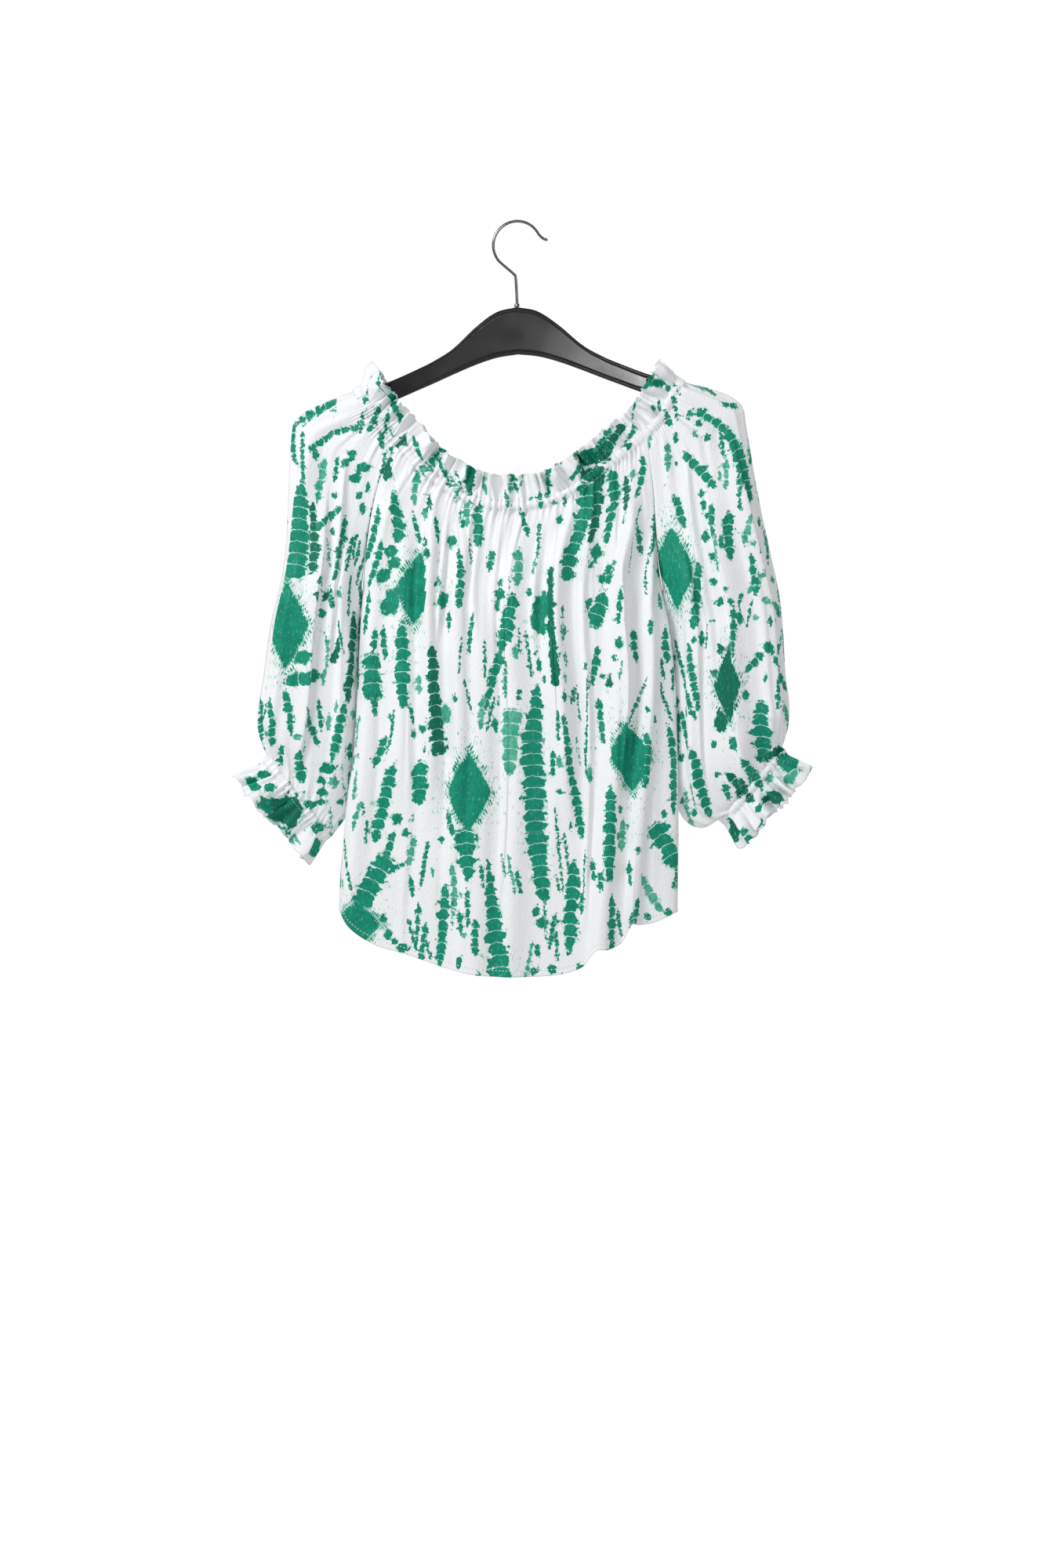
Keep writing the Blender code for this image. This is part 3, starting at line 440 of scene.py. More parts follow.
def neck_up(share):
    """The direction in the plane of the blouse that the frill stands in."""
    way = NECK.along(share)
    return np.stack([-way[..., 1], np.zeros_like(way[..., 0]), way[..., 0]], -1)


def neck_at(share, height=0.0):
    """The neckline at a share round its front: x, depth from the middle plane, and z."""
    share = np.asarray(share, float)
    flat = NECK.at(share)
    from_end = np.minimum(share, 1 - share) * NECK.length
    depth = NECK_DEPTH * (1 - np.exp(-from_end / (5 * MM)))
    return np.stack([flat[..., 0], depth, flat[..., 1]], -1) + neck_up(share) * height


def raglan_path(start_share, rows):
    """The raglan seam, from the lower edge of the neckline's channel to the underarm."""
    start = neck_at(start_share, -CHANNEL_HEIGHT / 2)
    return Path([(start[0] / MM, start[2] / MM), *rows])


def down_seam(raglan, lower, down):
    """A seam's line at a row: the raglan seam above the underarm, then the seam below it."""
    return raglan.at(down) if down <= 1 else lower.at(down - 1)


def openness(down):
    """1 at the neckline, where front and back lie apart, and 0 from the underarm down."""
    return 1 - min(1, down) ** 1.5


def fold_at(folds, across, down, cloth_width):
    """How far the long folds push the cloth out, and how far they lean along it."""
    share = down / 2
    push = np.zeros_like(across)
    lean = np.zeros_like(across)
    for neck, hem, width, steep, forward, side, begins, ends in folds:
        centre = mix(hem, neck, (1 - share) ** 1.6)
        offset = (across - centre) * cloth_width / (width * MM)
        narrow = np.where(offset * steep > 0, 1 + 2.2 * steep ** 2, 1)
        strength = np.exp(-(offset * narrow) ** 2)
        strength *= ease(begins, begins + 0.2, share) * (1 - ease(ends - 0.15, ends, share))
        push += forward * MM * strength
        lean += side * MM * strength
    return push, lean


class Waves:
    """Uneven waves along an edge, each with its own height and length."""

    def __init__(self, count, seed):
        chance = np.random.default_rng(seed)
        self.count = count
        self.heights = chance.uniform(0.2, 1.45, count + 2) ** 1.55
        self.reach = chance.uniform(0.2, 1.0, count + 2) ** 1.5
        self.lean = chance.uniform(-1, 1, count + 2)
        self.phase = chance.uniform(0, 2 * np.pi, 3)

    def steps(self, across):
        """Which wave a place is in, as a number that is whole at each crest."""
        sway = (0.45 * np.sin(2 * np.pi * 2 * across + self.phase[0])
                + 0.30 * np.sin(2 * np.pi * 5 * across + self.phase[1])
                + 0.16 * np.sin(2 * np.pi * 9 * across + self.phase[2]))
        return self.count * across + sway * np.sin(np.pi * across)

    def at(self, across, pointed=1.0):
        """Crests of uneven height, from 0 between two waves to about 1, their reach down the
        cloth, and how far they lean to one side."""
        steps = self.steps(across)
        nearest = np.clip(np.round(steps).astype(int), 0, self.count)
        bump = (0.5 + 0.5 * np.cos(2 * np.pi * steps)) ** pointed
        return bump * self.heights[nearest], self.reach[nearest], bump * self.lean[nearest]


class Creases:
    """Small seeded creases that run down the cloth between the long folds."""

    def __init__(self, count, seed):
        chance = np.random.default_rng(seed)
        self.rows = np.stack([
            chance.uniform(0.06, 0.94, count), chance.uniform(-0.05, 0.05, count),
            chance.uniform(0.0, 0.7, count), chance.uniform(0.18, 0.55, count),
            chance.uniform(2.6, 6.0, count),
            chance.choice([-1, 1, 1], count) * chance.uniform(0.5, 1.5, count),
        ], -1)

    def at(self, across, share, cloth_width):
        push = np.zeros_like(across)
        for place, drift, begins, run, width, height in self.rows:
            offset = (across - place - drift * share) * cloth_width / (width * MM)
            ends = begins + run
            fade = ease(begins, begins + 0.12, share) * (1 - ease(ends, ends + 0.15, share))
            push += height * MM * np.exp(-offset ** 2) * fade
        return push


def way_at(base, across, down):
    """Unit vectors along a cloth and out of it."""
    along = ahead(lambda place: base(place, down), across)
    below = base(across, min(2, down + NEAR)) - base(across, max(0, down - NEAR))
    return unit(along), unit(np.cross(below, along))


def frill_rows(height, step):
    return np.linspace(1, 0, max(2, round(height / step)) + 1)


def band_rows():
    """Rows of the neckline's frill and channel, from the frill's edge down."""
    half = CHANNEL_HEIGHT / 2
    above = FRILL_HEIGHT - half
    heights = [half + share * above for share in frill_rows(above, ROW_STEP)]
    return [("band", height) for height in [*heights, *np.linspace(1, -1, 9)[1:-1] * half]]


def seam_edge(turn, down):
    """How far a cloth's edge draws in from its seam's line, and how far it turns under."""
    opened = openness(down)
    gap = mix(SHARP_SEAM, FLAT_SEAM, opened) * turn ** 8
    back = FLAT_SEAM * 1.3 * (1 - opened) * turn ** 8
    return gap, back - SEAM_VALLEY * mix(0.5, 1, opened) * turn ** 30


def pucker_lift(puckers, across):
    """The height of the fine puckers right beside an elastic."""
    pucker, _, _ = puckers.at(across, PUCKER_SHARPNESS)
    return ((pucker - PUCKER_LEVEL) * PUCKER_HEIGHT - ELASTIC_PULL) * MM


def band_lift(pucker, inside, bulge, above):
    """The puckers in a channel, softer in its middle, and in the frill, softer at its edge."""
    soft, share = (SOFT_PUCKER, bulge) if inside else (FRILL_EDGE_PUCKER, above ** 0.4)
    return (pucker - PUCKER_LEVEL) * mix(PUCKER_HEIGHT, soft, share) * MM


class PanelForm:
    """Front or back: a four-sided patch between the elastic, two seams and the hem."""

    def __init__(self, front, cloth):
        self.front = front
        self.sign = -1 if front else 1
        self.cloth = cloth
        self.right_raglan = raglan_path(RIGHT_START, RIGHT_RAGLAN)
        self.left_raglan = raglan_path(LEFT_START, LEFT_RAGLAN)
        self.right_side = Path(RIGHT_SIDE)
        self.left_side = Path(LEFT_SIDE)
        self.hem = Path(FRONT_HEM if front else BACK_HEM)
        self.folds = FRONT_FOLDS if front else BACK_FOLDS
        self.seam_length = self.right_raglan.length + self.right_side.length
        self.cloth_width = self.left_side.at(0.5)[0] - self.right_side.at(0.5)[0]
        seed = 0 if front else 1
        self.gathers = Waves(cloth.front_gathers if front else cloth.back_gathers, seed + 11)
        self.puckers = Waves(54 if front else 52, seed + 13)
        self.frill = Waves(14, seed + 15)
        self.crumples = Waves(25, seed + 21)
        self.swells = Waves(11, seed + 23)
        self.creases = Creases(15, seed + 17)
        downs = np.concatenate([np.linspace(0, 1, 38), np.linspace(1, 1.975, 92)[1:],
                                np.linspace(1.975, 2, 6)[1:]])
        self.rows = band_rows() + [("panel", down) for down in downs]

    def hem_stitches(self):
        return [("panel", 2 - self.cloth.hem_turn / self.right_side.length)]

    def neck_share(self, across):
        return mix(RIGHT_START, LEFT_START, across)

    def share_down(self, down):
        upper = min(1, down) * self.right_raglan.length
        return (upper + max(0, down - 1) * self.right_side.length) / self.seam_length

    def depth_at(self, across, down):
        share = self.share_down(down)
        seam = NECK_DEPTH * openness(down)
        middle = mix(NECK_DEPTH, CHEST_DEPTH, ease(0.0, 0.35, share))
        middle = mix(middle, HEM_DEPTH, ease(0.6, 1.0, share))
        turn = np.abs(2 * across - 1)
        rounded = np.maximum(0, 1 - turn ** 2.6) ** (1 / 2.6)
        return seam + (middle - seam) * mix(rounded, 1 - turn ** 3, openness(down))

    def base(self, across, down):
        right = down_seam(self.right_raglan, self.right_side, down)
        left = down_seam(self.left_raglan, self.left_side, down)
        share = self.share_down(down)

        def sag(at):
            ends = at(np.zeros_like(across)), at(np.ones_like(across))
            return at(across) - mix(*ends, column(across))

        def top_line(place):
            return neck_at(self.neck_share(place), -CHANNEL_HEIGHT / 2)[..., [0, 2]]

        flat = mix(right, left, column(across)) + sag(top_line) * (1 - share) + sag(self.hem.at) * share
        from_neck = neck_at(self.neck_share(across), -CHANNEL_HEIGHT / 2)[..., 1]
        from_neck = from_neck - self.depth_at(across, 0)
        depth = self.depth_at(across, down) + from_neck * (1 - ease(0, 0.35, down))
        forward = BODY_SIDE_FORWARD * ease(0.93, 1.12, down) * np.abs(2 * across - 1) ** 6
        return np.stack([flat[..., 0], self.sign * depth - forward, flat[..., 1]], -1)

    def seam_inset(self, across, down):
        gap, back = seam_edge(np.abs(2 * across - 1), down)
        inward = np.where(across < 0.5, 1, -1)
        return np.stack([inward * gap, self.sign * back, np.zeros_like(across)], -1)

    def stitch_side(self, across, row):
        return np.array([0, self.sign, 0]) * np.ones((len(across), 1))

    def place(self, across, row, gathered=True):
        """A point of the cloth. Without gathers it gives the folds alone."""
        across = np.asarray(across, float)
        kind, value = row
        turn = np.abs(2 * across - 1)
        if kind == "band":
            share = self.neck_share(across)
            up = neck_up(share)
            directions = (np.cross(up, [0.0, 1.0, 0.0]) * -1, up, np.array([0.0, 1.0, 0.0]))
            edge = 1 - 0.7 * turn ** 8
            point = neck_at(share, value)
            point = point + edge_wave(self, across, value, gathered, edge, 0.5, directions)
            point[..., 1] = self.sign * point[..., 1]
            return point + self.seam_inset(across, 0)
        along, out = way_at(self.base, across, value)
        out = np.where(column(out[..., 1] * self.sign < 0), -out, out)
        calm = 1 - turn ** 10
        share = self.share_down(value)
        lift, lean = gather_lift(self, self.gathers, share, across, 0.35)
        lift = lift + pucker_lift(self.puckers, across) * np.exp(-share / 0.014)
        edge = mix(calm, 1 - 0.8 * (1 - calm), 1 - ease(0, 0.2, value)) * gathered
        hem = ease(2 - self.cloth.hem_turn / self.right_side.length, 2, value) if value > 1.9 else 0
        push, fold_lean = fold_at(self.folds, across, value, self.cloth_width)
        push = push * self.cloth.fold_height + self.creases.at(across, share, self.cloth_width) * 1.2
        point = self.base(across, value) + out * column(lift * edge + push * calm + 0.35 * MM * hem)
        return point + along * column(fold_lean * calm + lean * edge) + self.seam_inset(across, value)


def edge_wave(form, across, height, gathered, edge, level, directions):
    """The waves of a frill and of the channel below it, as an offset from the neckline."""
    along, up, outwards = directions
    half = CHANNEL_HEIGHT / 2
    above = max(0.0, height - half) / (FRILL_HEIGHT - half)
    frill, reach, lean = form.frill.at(across, 0.8)
    crumple, _, crumple_lean = form.crumples.at(across + 0.010 * above, 1.0)
    pucker, _, pucker_lean = form.puckers.at(across, PUCKER_SHARPNESS)
    inside = abs(height) < half
    bulge = 1 - (height / half) ** 2 if inside else 0.0
    out = band_lift(pucker, inside, bulge, above)
    out = out + (2 * ELASTIC_PULL * bulge - ELASTIC_PULL) * MM * (1 - above) ** 2
    rise = ease(-0.15, 0.7, above) if height > half else 0.0
    large = ((frill - level) + 0.42 * (crumple - 0.45)) * form.cloth.frill_depth * rise
    slide = (pucker_lean * 0.9 * (1 - above) + (lean * 5.0 + crumple_lean * 2.0) * rise) * MM
    if not gathered:
        out, large, slide = out * 0.3, large * 0, slide * 0
    drop = ((0.35 * (reach - 0.5) * 9 - 1.6 * crumple) * MM - 0.25 * np.abs(large)) * above ** 2
    out = (out + large) * edge + 0.10 * max(0.0, height)
    return outwards * column(out) + up * column(drop * gathered) + along * column(slide * edge)


def gather_lift(form, waves, share, across, level):
    """The gathers that run away from an elastic: fine puckers that join into gathers of uneven
    reach, and those into wide soft swells. Also how far they lean."""
    depth = form.cloth.gather_depth
    drift = 0.016 * np.sin(2 * np.pi * 1.7 * across + waves.phase[0])
    drifted = across + drift * min(1.0, share / 0.12)
    ridge, reach, lean = waves.at(drifted, 1.5)
    fade = np.exp(-share / (0.012 + 0.11 * reach)) * mix(0.3, 1, ease(0.0, 0.035, share))
    swell, _, swell_lean = form.swells.at(drifted, 1.0)
    soft = ease(0.02, 0.10, share) * np.exp(-share / 0.20)
    return ((ridge - level) * depth * fade + (swell - 0.5) * depth * 0.9 * soft,
            (lean * 0.8 * fade + swell_lean * 0.8 * soft) * depth)


class SleeveForm:
    """A raglan sleeve: a tube closed along the underarm seam and open to the body above it."""

    def __init__(self, wearer_right, cloth):
        self.cloth = cloth
        self.wearer_right = wearer_right
        self.side = -1 if wearer_right else 1
        self.outer = Path(RIGHT_OUTER if wearer_right else LEFT_OUTER)
        self.inner = Path(RIGHT_INNER if wearer_right else LEFT_INNER)
        self.start = RIGHT_START if wearer_right else LEFT_START
        self.raglan = raglan_path(self.start, RIGHT_RAGLAN if wearer_right else LEFT_RAGLAN)
        self.cloth_width = 2 * np.linalg.norm(self.outer.at(0.7) - self.inner.at(0.3))
        seed = 30 if wearer_right else 40
        self.gathers = Waves(cloth.sleeve_gathers, seed + 1)
        self.cuff_gathers = Waves(cloth.cuff_gathers, seed + 2)
        self.puckers = Waves(44, seed + 3)
        self.cuff_puckers = Waves(40, seed + 4)
        self.frill = Waves(13, seed + 5)
        self.cuff_frill = Waves(11, seed + 6)
        self.crumples = Waves(21, seed + 8)
        self.swells = Waves(8, seed + 9)
        self.creases = Creases(13, seed + 7)
        cuff_line = unit(self.inner.at(1.0) - self.outer.at(1.0))
        opening = np.array([cuff_line[1], 0, -cuff_line[0]])
        self.opening = -opening if opening[2] > 0 else opening
        middle = (self.outer.at(1.0) + self.inner.at(1.0)) / 2
        self.cuff_middle = np.array([middle[0], SLEEVE_SIDE_BACK / 2, middle[1]])
        downs = np.concatenate([np.linspace(0, 1, 44), np.linspace(1, 2, 68)[1:]])
        self.rows = band_rows() + [("panel", down) for down in downs]
        self.rows += [("cuff", height) for height in np.linspace(0, 1, 9)[1:] * CUFF_CHANNEL]
        self.rows += [("cuff", CUFF_CHANNEL + (1 - share) * CUFF_FRILL)
                      for share in frill_rows(CUFF_FRILL, CUFF_ROW_STEP)[1:]]

    def neck_share(self, across):
        turn = np.abs(2 * across - 1)
        return self.start * turn if self.wearer_right else 1 - (1 - self.start) * turn

    def ring(self, across, height):
        """The neckline over the hanger's arm."""
        point = neck_at(self.neck_share(across), height)
        point[..., 1] = np.where(across > 0.5, -point[..., 1], point[..., 1])
        return point

    def ring_out(self, across):
        round_it = ahead(lambda place: self.ring(place, 0), across, 0.01)
        return unit(np.cross(round_it, neck_up(self.neck_share(across)))) * -self.side

    def section(self, across, down):
        turn = np.abs(2 * across - 1)
        sign = np.where(across > 0.5, -1, 1)
        along = mix((1 - np.cos(np.pi * turn)) / 2, turn, 0.35)
        out_share = SLEEVE_UNDERARM * down if down < 1 else mix(SLEEVE_UNDERARM, 1, down - 1)
        flat = mix(self.outer.at(out_share), down_seam(self.raglan, self.inner, down), column(along))
        depth = mix(ARM_DEPTH, SLEEVE_DEPTH, ease(0.3, 1.2, down))
        depth = mix(depth, CUFF_DEPTH, ease(1.7, 2.0, down))
        power = mix(3.0, 2.2, ease(0.4, 1.0, down))
        rounded = np.maximum(0, 1 - np.abs(2 * along - 1) ** power) ** (1 / power)
        seam = NECK_DEPTH * openness(down) / depth
        near = seam + (1 - seam) * mix(rounded, 1 - ease(0.5, 1, along), openness(down))
        rounded = np.where(along > 0.5, near, rounded)
        behind = SLEEVE_SIDE_BACK * ease(0.93, 1.12, down) * along ** 2
        tucked = SLEEVE_TUCK * ease(0.94, 1.06, down) * (1 - ease(1.7, 2, down)) * along ** 3
        return np.stack([flat[..., 0] - self.side * tucked, sign * depth * rounded + behind,
                         flat[..., 1]], -1)

    def base(self, across, down):
        from_ring = self.ring(across, -CHANNEL_HEIGHT / 2) - self.section(across, 0)
        return self.section(across, down) + from_ring * (1 - ease(0, 0.35, down))

    def seam_inset(self, across, down):
        gap, back = seam_edge(np.abs(2 * across - 1), down)
        sign = np.where(across > 0.5, -1, 1)
        return np.stack([self.side * gap, sign * back, np.zeros_like(across)], -1)

    def cuff_out(self, across):
        return unit((self.base(across, 2) - self.cuff_middle) * CUFF_FACING)

    def cuff_point(self, across, height, gathered):
        at = self.base(across, 2) - self.cuff_middle
        along = unit(ahead(lambda place: self.base(place, 2), across))
        out = self.cuff_out(across)
        flare = max(0, height - CUFF_CHANNEL) / CUFF_FRILL
        calm = (1 - np.abs(2 * across - 1) ** 10) * gathered
        pucker, _, pucker_lean = self.cuff_puckers.at(across, PUCKER_SHARPNESS)
        frill, reach, lean = self.cuff_frill.at(across, 0.8)
        crumple, _, crumple_lean = self.crumples.at(across + 0.015 * flare, 1.0)
        inside = height < CUFF_CHANNEL
        bulge = 1 - (2 * height / CUFF_CHANNEL - 1) ** 2 if inside else 0.0
        small = band_lift(pucker, inside, bulge, flare)
        small = small + (2.2 * bulge - 0.9) * MM * (1 - flare) ** 2
        rise = ease(-0.15, 0.8, flare) if not inside else 0.0
        large = ((frill - 0.5) + 0.45 * (crumple - 0.45)) * self.cloth.frill_depth * 1.5 * rise
        slide = (pucker_lean * 0.9 * (1 - flare) + (lean * 5.5 + crumple_lean * 3.0) * rise) * MM
        drop = ((0.35 * (reach - 0.5) * 12 - 2.5 * crumple) * MM - 0.25 * np.abs(large)) * flare ** 2
        rounded = 4 * MM * flare * np.abs(2 * np.abs(2 * across - 1) - 1) ** 6
        down = height + (drop - rounded) * gathered
        point = self.cuff_middle + at * mix(1, 1.17, flare) + self.opening * column(down)
        return point + out * column((small + large) * calm) + along * column(slide * calm)

    def stitch_side(self, across, row):
        if row[0] == "band":
            return self.ring_out(across)
        return self.cuff_out(across)

    def place(self, across, row, gathered=True):
        """A point of the cloth. Without gathers it gives the folds alone."""
        across = np.asarray(across, float)
        kind, value = row
        turn = np.abs(2 * across - 1)
        calm = 1 - turn ** 10
        resting = 1 - ease(0.15, 0.4, turn)  # over the hanger's arm the waves only stand outwards
        if kind == "band":
            up = neck_up(self.neck_share(across))
            out = self.ring_out(across)
            directions = (np.cross(up, out), up, out)
            offset = edge_wave(self, across, value, gathered, 1 - 0.7 * turn ** 8,
                               0.5 * (1 - resting), directions)
            point = self.ring(across, value) + offset + out * column(resting * OVER_ARM)
            return point + self.seam_inset(across, 0)
        if kind == "cuff":
            return self.cuff_point(across, value, gathered) + self.seam_inset(across, 2)
        along, out = way_at(self.base, across, value)
        sign = np.where(across > 0.5, -1, 1)
        wrong = np.where(turn > 0.15, out[..., 1] * sign < 0, out[..., 0] * self.side < 0)
        out = np.where(column(wrong), -out, out)
        lift, lean = gather_lift(self, self.gathers, value / 2, across, 0.35 * (1 - resting))
        cuff_lift, cuff_lean = gather_lift(self, self.cuff_gathers, (2 - value) / 2, across, 0.3)
        lift = lift + pucker_lift(self.puckers, across) * (1 - resting) * np.exp(-value / 2 / 0.014)
        lift = lift + 1.25 * cuff_lift
        lift = lift + pucker_lift(self.cuff_puckers, across) * np.exp(-(2 - value) / 2 / 0.016)
        edge = mix(calm, 1 - 0.8 * (1 - calm), 1 - ease(0, 0.2, value)) * gathered
        over = resting * (1 - ease(0.4, 0.8, value)) * OVER_ARM
        push, fold_lean = fold_at(SLEEVE_FOLDS, across, value, self.cloth_width)
        push = push * self.cloth.fold_height
        push = push + self.creases.at(across, value / 2, self.cloth_width) * ease(0.2, 0.5, value)
        point = self.base(across, value) + out * column(lift * edge + over + push * calm)
        slide = fold_lean * calm + (lean + cuff_lean) * edge
        return point + along * column(slide) + self.seam_inset(across, value)


BLOCKS = {"ladder": 11.5 * MM, "chain": 10 * MM, "dashes": 7.5 * MM}
SQUARENESS = {"ladder": 0.75, "chain": 0.3, "dashes": 0.2, "spot": 0.2, "stroke": 0.3, "diamond": 1.0}
FULLNESS = 1.12  # of a diamond: 1 has straight sides, 2 is an ellipse
TOOTH = 3.4 * MM
SLIM = 9 * MM  # an end with a smaller half-width tapers off
FAR = 3.0  # no motif is near
DYE_LAYERS = ("near", "step", "square", "tone", "grain", "teeth")
PANEL_SCATTER = 650
SLEEVE_SCATTER = 800
NECK_STITCHES = [("band", CHANNEL_HEIGHT / 2), ("band", -CHANNEL_HEIGHT / 2)]
CUFF_STITCHES = [("cuff", 0), ("cuff", CUFF_CHANNEL)]
THREAD_RADIUS = 0.42 * MM
STITCH_RISE = 0.12 * MM
STITCH_PITCH = 1.45  # from one stitch to the next, in stitches


def full_row(kind, *values):
    """A motif's row with what it leaves out: a spot's other end, and a tone of 1."""
    places = 2 if kind == "spot" else 4
    ends = values[:places] * 2 if kind == "spot" else values[:places]
    return kind, *ends, *values[places:places + 2], *(values[places + 2:] or (1,))


class Print:
    """The dye on one cloth: for each point the motif that it is nearest to, as plain numbers."""

    def __init__(self, places, points, facing):
        self.places = places
        self.points = points[facing][:, [0, 2]]
        self.flat = places[facing]
        count = len(places)
        self.near = np.full(count, FAR)
        self.step = np.full(count, 0.5)
        self.square = np.zeros(count)
        self.tone = np.ones(count)
        self.grain = np.full(count, 0.2)
        self.teeth = np.zeros(count)

    def locate(self, x, z):
        """Where a place on the blouse lies on the flat cloth."""
        wanted = np.array([x, z])
        nearest = np.abs(self.points - wanted).sum(-1).argmin()
        return self.flat[nearest] + wanted - self.points[nearest]

    def nearness(self, at):
        gap = np.abs(self.places - at).sum(-1)
        return self.near[gap.argmin()]

    def add_row(self, kind, x0, z0, x1, z1, width0, width1, tone):
        start = self.locate(x0 * MM, z0 * MM)
        end = self.locate(x1 * MM, z1 * MM)
        if kind == "diamond":
            end = start + np.array([0, (z1 - z0) * MM])
        self.add(kind, start, end, width0 * MM, width1 * MM, tone)

    def add(self, kind, start, end, width0, width1, tone):
        offset = self.places - start
        step = np.full(len(offset), 0.5)
        if kind == "spot":
            side = offset[:, 0] / width0
            width = np.full(len(offset), (width0 + width1) / 2)
            near = np.hypot(side, offset[:, 1] / width1)
        elif kind == "diamond":
            width = np.where(offset[:, 0] < 0, width0, width1)
            side = offset[:, 0] / width
            rise = offset[:, 1] / np.linalg.norm(end - start)
            near = (np.abs(side) ** FULLNESS + np.abs(rise) ** FULLNESS) ** (1 / FULLNESS)
            step = (side * np.sign(rise * side) - rise) * np.round(width0 / TOOTH) + 0.5
        else:
            way = end - start
            run = max(np.linalg.norm(way), 1 * MM)
            way = way / run
            share = offset @ way / run
            inside = np.clip(share, 0, 1)
            width = mix(width0, width1, inside)
            if kind in BLOCKS:
                slim = np.where(inside < 0.5, width0, width1) < SLIM
                width = width * (1 - 0.55 * slim * np.abs(2 * inside - 1) ** 5)
            side = (offset[:, 0] * way[1] - offset[:, 1] * way[0]) / width
            past = np.maximum(0, np.maximum(-share, share - 1)) * run / np.minimum(width, 3 * MM)
            near = np.hypot(side, past)
            if kind in BLOCKS:
                step = inside * max(1, round(run / BLOCKS[kind]))
        if kind == "bare":
            self.near[near < 1] = FAR
            return
        mine = near < self.near
        self.near[mine] = np.minimum(near, FAR)[mine]
        self.step[mine] = step[mine]
        self.square[mine] = SQUARENESS[kind]
        self.tone[mine] = tone
        self.grain[mine] = (MM / width)[mine]
        self.teeth[mine] = float(kind == "diamond")

    def scatter(self, chance, count):
        """Thin rows of small marks in the empty places, as the dye leaves between its motifs."""
        low, high = self.places.min(0), self.places.max(0)
        for _ in range(count):
            start = chance.uniform(low, high)
            run = chance.uniform(8, 45) * MM
            lean = chance.uniform(-0.25, 0.25)
            end = start + np.array([lean, -1]) * run
            if min(self.nearness(start), self.nearness(end), self.nearness((start + end) / 2)) < 1.6:
                continue
            kind = chance.choice(["dashes", "dashes", "chain", "chain", "spot"])
            width = chance.uniform(1.0, 2.4) * MM if kind == "dashes" else chance.uniform(2, 4) * MM
            self.add(kind, start, end, width, width * chance.uniform(0.7, 1.3), chance.choice([0, 1, 1]))

    def write(self, mesh):
        for name in DYE_LAYERS:
            layer = mesh.attributes.new("dye_" + name, "FLOAT", "POINT")
            layer.data.foreach_set("value", getattr(self, name))
        flat = np.column_stack([self.places, np.zeros(len(self.places))])
        layer = mesh.attributes.new("cloth_place", "FLOAT_VECTOR", "POINT")
        layer.data.foreach_set("vector", flat.ravel())


def unrolled(smooth, row_of, column_of, start_column, sign):
    """Flat places on the cloth: level distances along each row, and the height."""
    grid = np.zeros((row_of.max() + 1, column_of.max() + 1, 3))
    grid[row_of, column_of] = smooth
    steps = np.linalg.norm(np.diff(grid[..., :2], axis=1), axis=-1)
    along = np.concatenate([np.zeros((len(grid), 1)), np.cumsum(steps, axis=1)], axis=1) * sign
    along += (grid[:, start_column, 0] - along[:, start_column])[:, None]
    return np.column_stack([along[row_of, column_of], smooth[:, 2]])


def dye_panel(form, places, smooth):
    dye = Print(places, smooth, np.ones(len(places), bool))
    chance = np.random.default_rng(5 if form.front else 6)
    for kind, x0, z0, x1, z1, width0, width1, tone in (full_row(*row) for row in FRONT_PRINT):
        if form.front:
            dye.add_row(kind, x0, z0, x1, z1, width0, width1, tone)
        else:  # the back doesn't show on the photo: the front's motifs, mirrored and moved about
            shift, drop = chance.uniform(-9, 9), chance.uniform(-16, 16)
            dye.add_row(kind, shift - x0, z0 + drop, shift - x1, z1 + drop, width1, width0, tone)
    dye.scatter(chance, PANEL_SCATTER)
    return dye


def dye_sleeve(form, places, smooth, across):
    dye = Print(places, smooth, across > 0.5)
    chance = np.random.default_rng(7 if form.wearer_right else 8)
    table = RIGHT_SLEEVE_PRINT if form.wearer_right else LEFT_SLEEVE_PRINT
    rows = [full_row(*row) for row in table]
    line = np.abs(across - 0.5) < NEAR
    order = np.argsort(smooth[line][:, 2])
    heights, turns = smooth[line][order, 2], places[line][order, 0]
    for row in rows:
        dye.add_row(*row)
    for kind, x0, z0, x1, z1, width0, width1, tone in rows:
        shift = np.array([chance.uniform(-8, 8), chance.uniform(-14, 14)]) * MM
        ends = []
        for x, z in ((x0, z0), (x1, z1)):
            at = dye.locate(x * MM, z * MM)
            ends.append(np.array([2 * np.interp(at[1], heights, turns) - at[0], at[1]]) + shift)
        if kind == "diamond":
            ends[1] = ends[0] + np.array([0, (z1 - z0) * MM])
        dye.add(kind, ends[0], ends[1], width1 * MM, width0 * MM, tone)
    dye.scatter(chance, SLEEVE_SCATTER)
    return dye


def new_grid(name, columns, rows):
    """A flat grid, with its points' places across from 0 to 1 and their rows from 0 down."""
    mesh = bpy.data.meshes.new(name)
    sheet = bmesh.new()
    bmesh.ops.create_grid(sheet, x_segments=columns, y_segments=rows, size=0.5)
    sheet.to_mesh(mesh)
    sheet.free()
    flat = np.zeros(len(mesh.vertices) * 3)
    mesh.vertices.foreach_get("co", flat)
    flat = flat.reshape(-1, 3)
    return mesh, np.clip(flat[:, 0] + 0.5, 0, 1), np.round((0.5 - flat[:, 1]) * rows).astype(int)


def new_piece(name, mesh):
    made = bpy.data.objects.new(name, mesh)
    bpy.context.scene.collection.objects.link(made)
    return made


def close_up(mesh):
    """Welds a bent grid's meeting edges, and turns its faces out."""
    solid = bmesh.new()
    solid.from_mesh(mesh)
    bmesh.ops.remove_doubles(solid, verts=solid.verts, dist=0.01 * MM)
    bmesh.ops.recalc_face_normals(solid, faces=solid.faces)
    solid.to_mesh(mesh)
    solid.free()
    mesh.shade_smooth()


